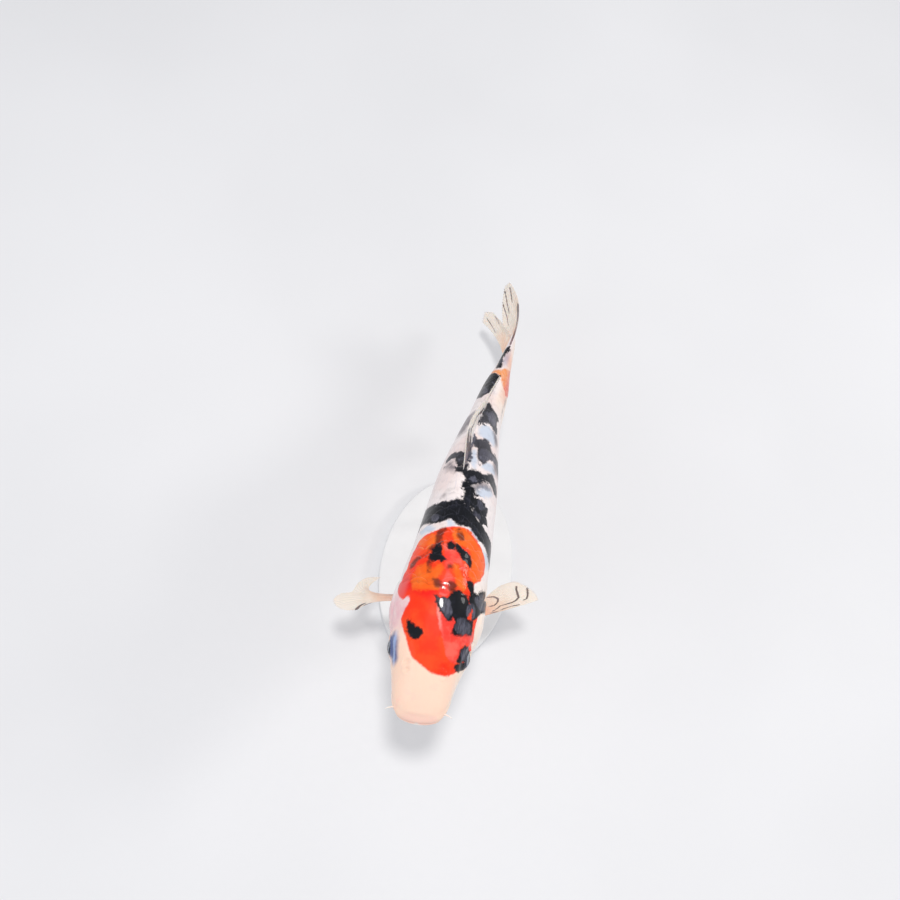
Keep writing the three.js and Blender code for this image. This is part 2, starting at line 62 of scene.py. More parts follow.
PITCH = math.radians(12)
ROLL = math.radians(4)
CENTRE_STATION = 43
CENTRE_HEIGHT = 86 * MM
HEADING = [(0, -2.6), (15, -0.2), (30, 2.6), (45, 1.0), (60, 2.0), (75, 5.6), (90, 7.3), (100, 6.0)]
FIN_SWEEP = math.radians(62)
FIN_SWEEP_START = 100
FIN_SWEEP_SPAN = 18
MIDLINE_STEP = 0.5
MIDLINE_END = 130

HALF_WIDTH = [
    (-0.8, 3.6), (2.2, 5.7), (8, 7.1), (12, 8.2), (17, 9.2), (22, 10.3), (28, 9.9), (35, 9.05),
    (45, 8.25), (55, 7.4), (65, 5.75), (75, 4.15), (80, 3.85), (85, 3.4), (92, 2.05), (100, 1.0),
]
BACK = [
    (-0.8, 1.4), (2.4, 4.3), (8, 8.0), (15, 11.3), (23, 13.8), (35, 15.6), (48, 16.0), (60, 14.6),
    (75, 10.8), (85, 7.6), (92, 6.2), (100, 6.2),
]
BELLY = [
    (-0.8, -2.2), (2.4, -4.2), (8, -6.4), (15, -9.0), (23, -11.2), (35, -13.0), (48, -13.4),
    (60, -12.2), (75, -9.0), (85, -6.4), (92, -5.6), (100, -6.0),
]
SNOUT = -1.0
NOSE_ROUND = 1.5
HEAD_FULLNESS = 0.88
TRUNK_FULLNESS = 0.95
FULLNESS_BLEND = (16, 34)
BODY_END = 100.6

GILL_COVER = [
    (19.4, 6.0), (24.2, 6.6), (27.4, 3.9), (28.6, -0.8), (27.2, -5.6), (23.4, -9.0),
    (19.8, -9.6), (17.6, -6.8), (16.9, -1.5), (17.6, 3.0),
]
# The gill opening as a station for each height, from the throat up to the nape.
GILL_OPENING = [
    (-22, 15.5), (-11.4, 19.5), (-9.0, 23.4), (-5.6, 27.2), (-0.8, 28.6), (3.9, 27.4), (9.0, 25.4),
    (14.2, 23.4), (22, 22.9),
]
MOUTH_LINE = [(-1, -0.3), (2.6, -1.0), (5.4, -2.2)]
EYE_STATION = 13.3
EYE_HEIGHT = 3.0
EYE_RADIUS = 7.1 * MM

# The coat of scales: how deep it is, and so how far inside the solids the skin lies.
COAT_DEPTH = 0.42 * MM
HEAD_INSET = 0.25 * MM

# ---- small mathematics ----


def smooth_step(low, high, value):
    t = np.clip((value - low) / (high - low), 0, 1)
    return t * t * (3 - 2 * t)


def bell(value, width):
    return np.exp(-((value / width) ** 2))


def monotone(table):
    """A monotone cubic through a table of (place, value), as a function of the place."""
    x, y = np.array(table, float).T
    slope = np.diff(y) / np.diff(x)
    before, after = slope[:-1], slope[1:]
    turning = before * after <= 0
    mean = 2 * before * after / np.where(turning, 1, before + after)
    tangent = np.concatenate([slope[:1], np.where(turning, 0, mean), slope[-1:]])

    def value(at):
        at = np.clip(at, x[0], x[-1])
        i = np.clip(np.searchsorted(x, at, side="left") - 1, 0, len(x) - 2)
        width = x[i + 1] - x[i]
        rise = y[i + 1] - y[i]
        t = (at - x[i]) / width
        a = width * tangent[i] - rise
        b = rise - width * tangent[i + 1]
        return y[i] + t * rise + t * (1 - t) * (a * (1 - t) + b * t)

    return value


def unit(vectors):
    return vectors / np.maximum(np.linalg.norm(vectors, axis=-1, keepdims=True), 1e-12)


half_width = monotone(HALF_WIDTH)
back_height = monotone(BACK)
belly_height = monotone(BELLY)
gill_station = monotone(GILL_OPENING)
mouth_height = monotone(MOUTH_LINE)

# ---- the midline and its frame ----


heading_degrees = monotone(HEADING)


def heading(station):
    fin = np.clip((station - FIN_SWEEP_START) / FIN_SWEEP_SPAN, 0, 1)
    return np.radians(heading_degrees(station)) - FIN_SWEEP * fin


midline_stations = np.arange(0, MIDLINE_END + MIDLINE_STEP, MIDLINE_STEP)
midline_heading = heading(midline_stations[:-1] + MIDLINE_STEP / 2)
midline_side = np.append(0, np.cumsum(MIDLINE_STEP * np.sin(midline_heading)))
midline_along = np.append(0, np.cumsum(MIDLINE_STEP * np.cos(midline_heading)))


def midline(station):
    side = np.interp(station, midline_stations, midline_side)
    along = np.interp(station, midline_stations, midline_along)
    return side, np.where(station < 0, station, along)


def place(station, side, height):
    """A place on the fish, in percent, as a point of the frame in metres."""
    angle = heading(station)
    middle_side, middle_along = midline(station)
    centre_side, centre_along = midline(CENTRE_STATION)
    out = middle_side + side * np.cos(angle) - centre_side
    back = middle_along - side * np.sin(angle) - centre_along
    across = out * math.cos(ROLL) - height * math.sin(ROLL)
    up = height * math.cos(ROLL) + out * math.sin(ROLL)
    y = back * math.cos(PITCH) + up * math.sin(PITCH)
    z = up * math.cos(PITCH) - back * math.sin(PITCH)
    return np.stack([across * UNIT, y * UNIT, z * UNIT + CENTRE_HEIGHT], axis=-1)


# ---- the body surface ----


def section(station, angle):
    """(side, height) on the body's section: angle 0 on the back, 90 degrees on the left side."""
    rounding = np.clip((station - SNOUT) / NOSE_ROUND, 0, 1)
    nose = np.sqrt(1 - (1 - rounding) ** 2)
    top, bottom = back_height(station), belly_height(station)
    trunk = smooth_step(*FULLNESS_BLEND, station)
    fullness = HEAD_FULLNESS + (TRUNK_FULLNESS - HEAD_FULLNESS) * trunk
    sine, cosine = np.sin(angle), np.cos(angle)
    side = half_width(station) * nose * np.sign(sine) * np.abs(sine) ** fullness
    rise = (top - bottom) / 2 * nose * np.sign(cosine) * np.abs(cosine) ** fullness
    return side, (top + bottom) / 2 + rise


def body_point(station, angle):
    return place(station, *section(station, angle))


def body_normal(station, angle):
    step_along, step_round = 0.05, 0.01
    low = np.maximum(station - step_along, SNOUT + 0.001)
    along = body_point(station + step_along, angle) - body_point(low, angle)
    around = body_point(station, angle + step_round) - body_point(station, angle - step_round)
    return unit(np.cross(around, along))


# Girth and angle are turned into each other through a table over the whole body.
TABLE_RINGS = 420
TABLE_SIDES = 721
table_stations = np.linspace(SNOUT + 0.02, BODY_END, TABLE_RINGS)
table_angles = np.linspace(-math.pi, math.pi, TABLE_SIDES)
table_side, table_height = section(table_stations[:, None], table_angles[None])
table_steps = np.hypot(np.diff(table_side, axis=1), np.diff(table_height, axis=1))
table_girth = np.concatenate([np.zeros((TABLE_RINGS, 1)), np.cumsum(table_steps, axis=1)], axis=1)
table_girth -= table_girth[:, TABLE_SIDES // 2, None]
table_half_girth = table_girth[:, -1]
shares = np.linspace(-1, 1, TABLE_SIDES)
table_turn = np.array([np.interp(shares * row[-1], row, table_angles) for row in table_girth])


def table_value(table, columns, station, column):
    """Reads a table of (station, column) between its entries."""
    def position(at, places):
        return np.clip(np.interp(at, places, np.arange(len(places))), 0, len(places) - 1.001)

    row, across = position(station, table_stations), position(column, columns)
    r, c = row.astype(int), across.astype(int)
    fr, fc = row - r, across - c
    near = table[r, c] * (1 - fc) + table[r, c + 1] * fc
    far = table[r + 1, c] * (1 - fc) + table[r + 1, c + 1] * fc
    return near * (1 - fr) + far * fr


def half_girth(station):
    return np.interp(station, table_stations, table_half_girth)


def girth_at(station, angle):
    return table_value(table_girth, table_angles, station, angle)


def angle_at(station, girth):
    share = np.clip(girth / half_girth(station), -1, 1)
    return table_value(table_turn, shares, station, share)


# ---- markings ----
# Closed outlines, each a run of station,girth pairs.

MARKINGS = {
    "red": [
        [37.4,0.5, 37.7,2.8, 36.8,5.2, 35.8,8, 34.2,10.8, 31.8,11.3, 29,9.7, 26.6,7.6, 24,9.4, 21.6,11,
         18.9,11.3, 17.6,12.4, 16,13, 14.2,12, 12.4,10.2, 10,8.8, 8.6,6.8, 7.5,4.4, 7.4,1.5, 8.3,-0.6,
         9.7,-3, 11.6,-4.3, 13.3,-5.1, 15,-6.4, 17,-7.7, 18.8,-7, 20.4,-6.2, 21.4,-6.9, 20.8,-8.2,
         22.3,-10.4, 24.6,-12.2, 26.6,-11.4, 28.4,-10.3, 30.6,-10.8, 33.1,-10, 35,-8.7, 35.8,-6.2,
         36.1,-3.8, 36.8,-1.8],
    ],
    # Orange among the red: over the shoulders, and round the tail.
    "orange": [
        [23.2,-6.6, 27.4,-7, 28.8,-4.6, 27.7,-2.7, 28.6,-1.4, 28.3,-0.1, 26.6,0.2, 25.1,-0.9, 23.4,0.2,
         22.4,-2.4, 22.4,-4.8],
        [28.9,1.4, 29.7,2.4, 28.9,3.4, 26.5,5, 25,5.8, 24.2,5, 25,3.4, 27,1.8],
        [36.6,0, 37.6,1.4, 37.3,3.4, 36.5,5.6, 35.4,8, 34.1,10.6, 31.5,11, 28.8,9.4, 27.3,7.2, 27.8,6,
         29.8,5.8, 32.7,4.7, 33.5,3.1, 33.3,1.6, 34.7,0.3],
        [35.5,-6.4, 35.6,-4.2, 33.9,-2.8, 32.3,-3.9, 31.7,-5.4, 33,-7.8, 34.6,-9.6],
        [88.3,-5.6, 88.6,-3.4, 88,-1.6, 88.4,0, 90.2,2, 91.6,5, 91,9, 87,10, 84,8.4, 82.4,6, 82.6,3.8,
         83.2,2.2, 84.4,1.2, 85.7,0.4, 86.3,-1.2, 87.3,-3.6, 86.9,-5.6],
    ],
    # A pinker flush down the right of the crown's ridge and over the nape: partly the skin's own pinker red,
    # partly a painted sheen on the wet skin.
    "flush": [
        [21.8,-0.3, 19.4,0.2, 17.6,0.7, 15.5,1.6, 13.2,3.1, 11.2,3.8, 10.4,5, 10.4,6.6, 12,7.4, 13.9,7.6,
         15.6,9.8, 17.5,11.6, 18.4,10, 18,6, 19.6,3.6],
        [33,-1.2, 32.2,1.2, 31.6,2.4, 29.4,4.4, 28.2,3.8, 29.6,2.4, 28.8,1.4, 27.5,1.5, 26.1,2.7, 24,2.5,
         22.2,2, 22.1,0.1, 24.2,-0.1, 26.6,0.2, 28.6,-0.3, 30.6,-0.9],
    ],
    "black": [
        # The spot on the right cheek.
        [16.6,-5.8, 16.6,-4.8, 15.7,-3.6, 15,-2, 13.9,-1.7, 12.8,-2.7, 13.2,-3.8, 14.2,-4.9, 15.3,-5.6],
        # The crown: a narrow arm over the right brow, the core, and a broad arm down the left.
        [22.1,-1.1, 22.3,-0.4, 21.9,0.5, 22.3,1.8, 23.4,2.9, 22,4, 19.8,4.2, 17.8,3.8, 17.4,2.7, 18.2,1.7,
         19.3,0.8, 20.2,-0.1, 21.2,-0.8],
        [23.2,2.9, 24.3,3.8, 24,5.2, 24.2,6.4, 22.8,7.2, 23,8.8, 21.3,8.2, 19.6,7.6, 19.7,9.6, 18.3,10.5,
         17.1,10.4, 16.3,7.7, 15.3,5.8, 15.4,4.2, 17.6,4.4, 19,3.6, 21.3,3.1],
        [26.7,5.2, 27.5,6.4, 26.8,7.8, 25.6,8.6, 27,10.6, 28.5,14, 27.8,17.6, 25,17, 23.6,13.9, 21.8,11.7,
         20.1,10, 19.8,8.9, 21.6,8.6, 22.6,7, 24.4,6.5, 25.6,5.8],
        # Round the left eye.
        [11.8,6.8, 13.2,7.2, 14.2,8.2, 15,10.1, 14.3,12, 12.8,11.4, 11.3,8.6, 10.8,6.9],
        [10.2,6.3, 11,8, 12.4,10.5, 13,13, 11.4,12.4, 10.2,10, 9.3,8.1, 9.3,6.9],
        # The shoulders.
        [30.3,-4, 31.7,-3.7, 32.7,-2.3, 31.6,-1.4, 30.2,-0.5, 29.7,0.3, 28.9,-0.8, 29.1,-2.2, 29.4,-3.3],
        [33.1,1.6, 33,3, 32.6,4.6, 31.6,5.4, 30.1,5.5, 29.9,4.4, 30.9,3.3, 31.8,2.2],
        [33.3,-0.4, 33.8,0.5, 33.1,1.1, 32.4,0.7, 32.3,-0.1],
        # The saddle, from low on the right to low on the left.
        [37,-15.4, 36,-19, 38.4,-20, 41,-17, 45,-14.6, 44.3,-12, 43.7,-8, 43.2,-5, 43.6,-4.2, 42.9,-2.7,
         43.6,-1.4, 43.5,0.8, 42.8,2.5, 41.9,4, 41.2,5.6, 40.8,8, 40.3,11, 39.8,14.7, 37.4,17, 34.4,18.6,
         34.8,16, 35.9,11.7, 36.4,8, 37.3,6, 38.3,3.6, 38.1,0.6, 39.2,-1.4, 38.2,-3.4, 38,-5.7, 38.4,-8.5,
         39.2,-11.7],
        # The patch that bends away from it: a bar, a neck and a broad foot.
        [51.6,-1.1, 52.3,0.2, 53,2.7, 52.9,3.6, 54.3,6, 54.9,7.8, 54.3,10, 53.7,12.4, 52,13.6, 50.8,10,
         51.3,8.3, 51.1,6, 50.4,4, 49,2.3, 48.1,1.2, 47.6,1.9, 46.9,2.8, 45.9,3.2, 46.4,4.6, 46.2,6.6,
         45.2,7.8, 43.6,7.6, 42.6,8.6, 41,9.2, 41.6,4.8, 42.6,3.2, 43.2,1.6, 44.5,0.6, 45.8,0, 47.4,-0.4,
         49.2,-0.3, 50.2,-0.9],
        [54.6,2.1, 54.2,2.9, 53.3,3.4, 53,2.6],
        [43.4,2, 43.2,4, 42,6.4, 41,7.4, 40.8,5, 41.6,3.2, 42.6,2],
        [61.4,0.8, 62.8,3.2, 61.9,4.4, 60.8,5.9, 61.6,9.8, 61.4,13.2, 58.8,14.4, 57.5,11.3, 58.5,9.2,
         57.9,6.7, 56.8,4.6, 55.4,3.9, 54.8,2.9, 55.3,2, 56.6,1.3, 58.4,1, 59.1,0.3, 60.2,-0.3],
        [75,0.4, 73.6,1.9, 73.1,4.9, 72.6,6.4, 71,5, 69.2,6, 67.3,6.4, 66.9,4, 67.5,2.5, 66.9,1.2, 65.8,0,
         68,-0.6, 72.4,-0.1],
        # Along the base of the back fin, and down the right of it.
        [51.4,0.6, 53.5,0.4, 55.1,0.1, 58.5,-0.1, 62.6,-0.4, 62.6,-1.6, 60.2,-1.9, 56.7,-1.7, 53.3,-1.3,
         51.4,-1.1],
        [56.8,-1.2, 54,-0.9, 51.2,-0.6, 50.8,-2.2, 53,-3.3, 55.4,-4.1, 56.9,-3.4],
        # The right flank and the tail.
        [54,-7.5, 55.4,-7.6, 57,-7.8, 57.8,-6.9, 57.7,-5.4, 56.6,-3.6, 56.6,-2, 53.5,-1.4, 51.4,-1.4,
         50.8,-2, 52.2,-2.6, 54.4,-2.9, 55.4,-4, 55.6,-5.2, 54.9,-6.3],
        [85.7,0.4, 86.7,-2.3, 86.5,-4.4, 85,-6.4, 81.6,-6.6, 78.6,-6, 76.5,-2.4, 78.3,-0.4, 80.4,0.2,
         83.2,0.5],
        [88.6,-1.8, 91,-2.2, 94.2,-2.2, 96.4,-0.4, 95.8,0.3, 94,0.1, 92.6,-0.4, 91.2,-0.2, 88.8,-0.1],
    ],
    # Slate hearts inside the black.
    "slate": [
        [21.8,-0.6, 21.6,0.6, 22,2.2, 20.6,3, 19.4,3.5, 18,3.2, 17.9,2.5, 19.6,1.2, 20.6,0.1],
        [22.2,6.9, 23,8.2, 22.2,9.6, 20.8,9.7, 19.9,8.6, 20.2,7],
        [18.2,5, 19.2,6.1, 19.1,7.8, 19,9, 17.5,9.6, 16.4,7.7, 15.9,5.6, 16.6,4.7],
        [25,9, 27,12.1, 27.4,15, 26.5,16, 24.4,14, 23,11.4, 23.4,9.2],
        [12.8,7.4, 14,8.6, 14.4,10.6, 13.4,11.2, 11.8,8.8],
        [58.2,1.5, 59.6,3, 59.8,6, 59.6,9, 58.4,7, 56.8,4.4, 55.4,3.1, 56.2,1.9],
        [50.5,0.8, 51.2,2.2, 49.9,2.6, 49.2,1.4],
        [53,0.3, 58,-0.1, 62.4,-0.3, 62.4,-1.5, 58,-1.6, 53.6,-1.1],
        [55.6,-2.2, 54.4,-1.8, 53.4,-2.4, 54.8,-3.2],
        [45.8,3.8, 45.6,6, 43.8,5.8, 44.2,4],
        [43,2.6, 42.6,4.4, 41.6,5.8, 41.4,4.6, 42.1,3.2],
        [40.4,-6.8, 40.7,-5.6, 39.8,-4.4, 38.6,-4.8, 39.2,-6.4],
        [70.8,0.8, 72.2,2, 71.6,4, 69.2,4.6, 68,2.8, 69.1,1.5],
        [82.2,-1.2, 83.1,-0.6, 82.6,0.3, 81.4,0],
        [81.2,-3.2, 80,-1.2, 78.2,-1.2, 78.2,-3],
        [92.8,-1.4, 92.6,-0.5, 91,-0.2, 90.6,-1],
    ],
    # Blue-grey over the right eye: the skin's own blue-grey with painted shade, and a painted highlight
    # along its middle.
    "blue": [
        [14.9,-9.8, 14.5,-8.3, 12.9,-7.3, 11,-7, 9.4,-6.8, 9,-8.4, 10.4,-10.6, 12.6,-12, 14.4,-12.4],
    ],
    # Pale blue beside the black.
    "pale": [
        [65.2,0.2, 66.5,1.4, 67.2,2.8, 66.7,4.2, 66,6.4, 63.4,6.6, 62.4,4.4, 62.6,1],
        [57.6,-0.2, 58.2,0.8, 56.1,1.5, 53.2,2.3, 52.5,1, 54,0.1],
        [54.8,3, 56.8,4.8, 57.4,7.4, 55.7,9, 54.2,5.6, 53.4,3.4],
        [38.2,-2, 38.9,-1.4, 38.5,-0.5, 37.4,-0.1, 36.9,-1],
        [38,-10.6, 38.3,-7.6, 37.3,-4.8, 36.2,-4.9, 35.7,-6.8, 36.2,-9.6],
        [37.7,2.8, 38,4.2, 37,6, 36,8, 36.2,11, 34.6,14, 33,12.6, 34.6,9.6, 35.8,6.6, 36.8,4.4],
        [48.2,3.2, 50,5.7, 50.6,8.5, 49.8,9.9, 47.4,7, 46.6,4.8, 46.6,3.3],
        [92.4,-0.4, 93.4,0.1, 92,1, 90.4,0.5, 90.8,-0.1],
    ],
    # Brown under the red: a broken line over the shoulders and small spots on the ridge.
    "brown": [
        [36.7,-1.8, 36.3,-3, 34.9,-3.8, 33.2,-3.5, 31.8,-4.6, 30.5,-4.8, 31.2,-3.4, 32.8,-2.6, 33.9,-1.9,
         35.4,-2.1],
        [36.8,0.8, 37.1,1.5, 36,2.5, 35,2.6, 34.6,1.8, 35.6,1],
        [30.7,-4.4, 30.4,-6.4, 29.4,-8.6, 27.8,-9.2, 27.8,-7.6, 29.2,-6.6, 29.9,-5.1],
        [29,1.3, 28.4,1.9, 27.6,1.4, 27.8,0.4, 28.7,0.5],
        [25.1,-2.1, 25.5,-1.2, 25,-0.2, 24,0.4, 23.5,-0.8, 24.3,-1.7],
        [25.1,1.4, 25.6,2.6, 24.5,3.4, 23.3,3.1, 23.6,1.9],
        [29,-4.3, 29.4,-3, 28,-2.8, 26.3,-2.6, 26,-3.4, 27.6,-4],
        [79,-6.6, 76,-7.4, 73.6,-7.6, 76.2,-6.6],
    ],
    # Grey: painted shade on the right flank beside the back fin and along the left flank before the tail,
    # and soft grey beside some of the black.
    "grey": [
        # Painted shade on the right flank beside the back fin.
        [71.2,-2.2, 71,-4.4, 71.4,-8.2, 66,-8.6, 63.4,-6.8, 63.6,-3.8, 65.4,-2.6, 68,-2],
        # Painted shade: a dark line along the left flank before the tail.
        [86.2,6.5, 82,5.9, 78,6.4, 75.6,7.1, 76,8, 80,7.4, 84,7.2],
        [54.8,-7, 55.3,-5.1, 53.8,-3.3, 51,-2.4, 51.4,-3.8, 53,-6.2],
        [48,0.8, 49.2,2.4, 50.3,4, 51,6.4, 50.9,9.2, 49.8,7, 48.6,4.4, 46.9,2.9],
        [60.3,8.6, 60.6,11, 58.6,14.2, 56.4,12.1, 56,8.1, 57.8,6.5],
        [67.2,4, 67.6,7, 65.4,9, 63.4,7, 64.2,5.6],
        [44.5,-5.3, 45.6,-4.7, 46.4,-3.7, 45.7,-3.4, 44.7,-4],
        [46.5,-2.3, 46.3,-1.5, 45.7,-1.7],
    ],
}
OUTLINE_STEPS = 6
FAR_OUTSIDE = -6.0


def closed_curve(points, steps=OUTLINE_STEPS):
    """A smooth closed curve through the points."""
    p = np.array(points, float)
    before, after, beyond = np.roll(p, 1, 0), np.roll(p, -1, 0), np.roll(p, -2, 0)
    t = (np.arange(steps) / steps)[None, :, None]
    curve = 0.5 * (
        2 * p[:, None] + (after - before)[:, None] * t
        + (2 * before - 5 * p + 4 * after - beyond)[:, None] * t ** 2
        + (3 * p - before - 3 * after + beyond)[:, None] * t ** 3
    )
    return curve.reshape(-1, 2)


def inside_distance(outline, first, second):
    """How far (first, second) lies inside a closed outline: negative outside."""
    result = np.full(np.shape(first), FAR_OUTSIDE)
    low, high = outline.min(0) + FAR_OUTSIDE, outline.max(0) - FAR_OUTSIDE
    near = (first > low[0]) & (first < high[0]) & (second > low[1]) & (second < high[1])
    x, y = first[near], second[near]
    distance = np.full(x.shape, np.inf)
    inside = np.zeros(x.shape, bool)
    for (ax, ay), (bx, by) in zip(outline, np.roll(outline, -1, 0)):
        dx, dy = bx - ax, by - ay
        t = np.clip(((x - ax) * dx + (y - ay) * dy) / max(dx * dx + dy * dy, 1e-12), 0, 1)
        distance = np.minimum(distance, np.hypot(x - ax - t * dx, y - ay - t * dy))
        crossing = (ay > y) != (by > y)
        inside ^= crossing & (x < ax + (y - ay) * dx / (dy if dy else 1e-12))
    result[near] = np.maximum(np.where(inside, distance, -distance), FAR_OUTSIDE)
    return result


def line_distance(points, first, second):
    """Distance from (first, second) to an open line through the points."""
    distance = np.full(np.shape(first), 99.0)
    for (ax, ay), (bx, by) in zip(points[:-1], points[1:]):
        dx, dy = bx - ax, by - ay
        t = np.clip(((first - ax) * dx + (second - ay) * dy) / (dx * dx + dy * dy), 0, 1)
        distance = np.minimum(distance, np.hypot(first - ax - t * dx, second - ay - t * dy))
    return distance


marking_curves = {kind: [closed_curve(np.reshape(outline, (-1, 2))) for outline in outlines]
                  for kind, outlines in MARKINGS.items()}


def marking_fields(station, girth):
    """The values that the skin and the scales share, for their colours."""
    fields = {"station": station, "girth": girth, "belly": np.abs(girth) / half_girth(station)}
    for kind, curves in marking_curves.items():
        depth = np.full(np.shape(station), FAR_OUTSIDE)
        for curve in curves:
            depth = np.maximum(depth, inside_distance(curve, station, girth))
        fields[kind] = depth
    return fields


# ---- pieces from meshes ----


def grid_quads(rows, columns, closed=False):
    """Faces over a grid of vertices, row by row."""
    i, j = np.indices((rows - 1, columns if closed else columns - 1)).reshape(2, -1)
    following = (j + 1) % columns
    return np.stack([i * columns + j, i * columns + following,
                     (i + 1) * columns + following, (i + 1) * columns + j], axis=1)


def shell_quads(rows, columns):
    """Faces of a thin solid: a grid, the same grid on its underside, and the wall round them."""
    below = rows * columns
    upper = grid_quads(rows, columns)
    rim = np.concatenate([
        np.arange(columns), np.arange(1, rows) * columns + columns - 1,
        (rows - 1) * columns + np.arange(columns - 2, -1, -1), np.arange(rows - 2, 0, -1) * columns,
    ])
    after = np.roll(rim, -1)
    wall = np.stack([after, rim, rim + below, after + below], axis=1)
    return np.concatenate([upper, upper[:, ::-1] + below, wall])


def fan(hub, ring, reverse=False):
    """Triangles that join a hub to a closed ring of vertices."""
    ends = [ring, np.roll(ring, -1)]
    return np.stack([np.full(len(ring), hub), *(ends[::-1] if reverse else ends)], axis=1)


def end_fans(points, rows, sides):
    """Triangles that close a tube. Its last two points are the hubs of its first and last rings."""
    ring = np.arange(sides)
    return np.concatenate([fan(len(points) - 2, ring, reverse=True),
                           fan(len(points) - 1, ring + (rows - 1) * sides)])


def make_piece(name, points, quads, triangles=(), fields=None, maps=None, material=None):
    """A mesh object. fields are numbers per vertex, and maps are UV pairs per face corner."""
    quads = np.asarray(quads, np.int32).reshape(-1, 4)
    triangles = np.asarray(triangles, np.int32).reshape(-1, 3)
    corners = np.concatenate([quads.ravel(), triangles.ravel()])
    counts = np.concatenate([np.full(len(quads), 4), np.full(len(triangles), 3)])
    starts = np.append(0, np.cumsum(counts)[:-1]).astype(np.int32)
    mesh = bpy.data.meshes.new(name)
    mesh.vertices.add(len(points))
    mesh.vertices.foreach_set("co", np.asarray(points, np.float32).ravel())
    mesh.loops.add(len(corners))
    mesh.loops.foreach_set("vertex_index", corners)
    mesh.polygons.add(len(counts))
    mesh.polygons.foreach_set("loop_start", starts)
    mesh.polygons.foreach_set("use_smooth", np.ones(len(counts), bool))
    for key, values in (maps or {}).items():
        layer = mesh.uv_layers.new(name=key)
        layer.data.foreach_set("uv", np.asarray(values, np.float32).ravel())
    for key, values in (fields or {}).items():
        layer = mesh.attributes.new(key, "FLOAT", "POINT")
        layer.data.foreach_set("value", np.asarray(values, np.float32).ravel())
    mesh.materials.append(material)
    mesh.update(calc_edges=True)
    mesh.validate()
    piece = bpy.data.objects.new(name, mesh)
    bpy.context.scene.collection.objects.link(piece)
    return piece


def belongs(piece, slot, *nodes):
    """The piece rides with the model and stands for CAD nodes, which it hides. The slot is not used."""
    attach(piece, "root")
    if nodes:
        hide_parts(*nodes)


# ---- materials ----


def paint(red, green, blue):
    """A colour given as a screen shows it, from 0 to 255, as the shader's own linear one."""
    screen = np.array([red, green, blue]) / 255
    linear = np.where(screen <= 0.04045, screen / 12.92, ((screen + 0.055) / 1.055) ** 2.4)
    return (*linear, 1.0)


class Graph:
    """A material's nodes, made by plain calls."""

    def __init__(self, name):
        self.material = bpy.data.materials.new(name)
        self.material.use_nodes = True
        self.tree = self.material.node_tree
        self.tree.nodes.clear()

    def node(self, kind, inputs, output=0, **settings):
        """Adds a node, sets or links its inputs, and returns one of its outputs."""
        made = self.tree.nodes.new(kind)
        for key, value in settings.items():
            setattr(made, key, value)
        for key, value in inputs.items():
            if isinstance(value, bpy.types.NodeSocket):
                self.tree.links.new(value, made.inputs[key])
            else:
                made.inputs[key].default_value = value
        return made.outputs[output] if made.outputs else None

    def field(self, name):
        return self.node("ShaderNodeAttribute", {}, "Fac", attribute_name=name)

    def math(self, operation, a, b=0.0):
        return self.node("ShaderNodeMath", {0: a, 1: b}, operation=operation)

    def add(self, a, b):
        return self.math("ADD", a, b)

    def times(self, a, b):
        return self.math("MULTIPLY", a, b)

    def step(self, value, low, high, to_low=0.0, to_high=1.0):
        """A smooth step of the value from low to high."""
        inputs = {"Value": value, "From Min": low, "From Max": high, "To Min": to_low, "To Max": to_high}
        return self.node("ShaderNodeMapRange", inputs, "Result", interpolation_type="SMOOTHSTEP")

    def bell(self, value, centre, width):
        """A smooth hump of height 1 at the centre, gone beyond the width."""
        off = self.math("ABSOLUTE", self.math("SUBTRACT", value, centre))
        return self.step(off, 0.0, width, 1.0, 0.0)

    def place(self):
        return self.node("ShaderNodeTexCoord", {}, "Object")

    def drawn_out(self, times):
        """Places for noise in lines that lie level, squeezed this many times in height."""
        return self.node("ShaderNodeMapping", {"Vector": self.place(), "Scale": (1, 1, times)})

    def noise(self, scale, detail=2.0, roughness=0.5, vector=None):
        """Noise from 0 to 1. The scale is in turns a metre."""
        inputs = {"Vector": vector or self.place(), "Scale": scale, "Detail": detail,
                  "Roughness": roughness}
        return self.node("ShaderNodeTexNoise", inputs, "Fac")

    def around(self, noise, size):
        """Noise moved round zero, with the size of its swing."""
        return self.times(self.add(noise, -0.5), 2 * size)

    def mix(self, factor, a, b, blend="MIX"):
        inputs = {0: factor, 6: a, 7: b}
        return self.node("ShaderNodeMix", inputs, 2, data_type="RGBA", blend_type=blend)

    def vector(self, x, y, z):
        return self.node("ShaderNodeCombineXYZ", {"X": x, "Y": y, "Z": z})

    def bump(self, height, strength, distance):
        inputs = {"Height": height, "Strength": strength, "Distance": distance}
        return self.node("ShaderNodeBump", inputs)

    def output(self, shader):
        self.node("ShaderNodeOutputMaterial", {"Surface": shader})
        return self.material

    def surface(self, colour, roughness, normal, coat=(), flesh=(), extra=None):
        """Finishes the material. coat is (weight, roughness, IOR), flesh (weight, radius, scale)."""
        inputs = {"Base Color": colour, "Roughness": roughness, "Normal": normal, **(extra or {})}
        inputs.update(zip(("Coat Weight", "Coat Roughness", "Coat IOR"), coat))
        inputs.update(zip(("Subsurface Weight", "Subsurface Radius", "Subsurface Scale"), flesh))
        return self.output(self.node("ShaderNodeBsdfPrincipled", inputs))


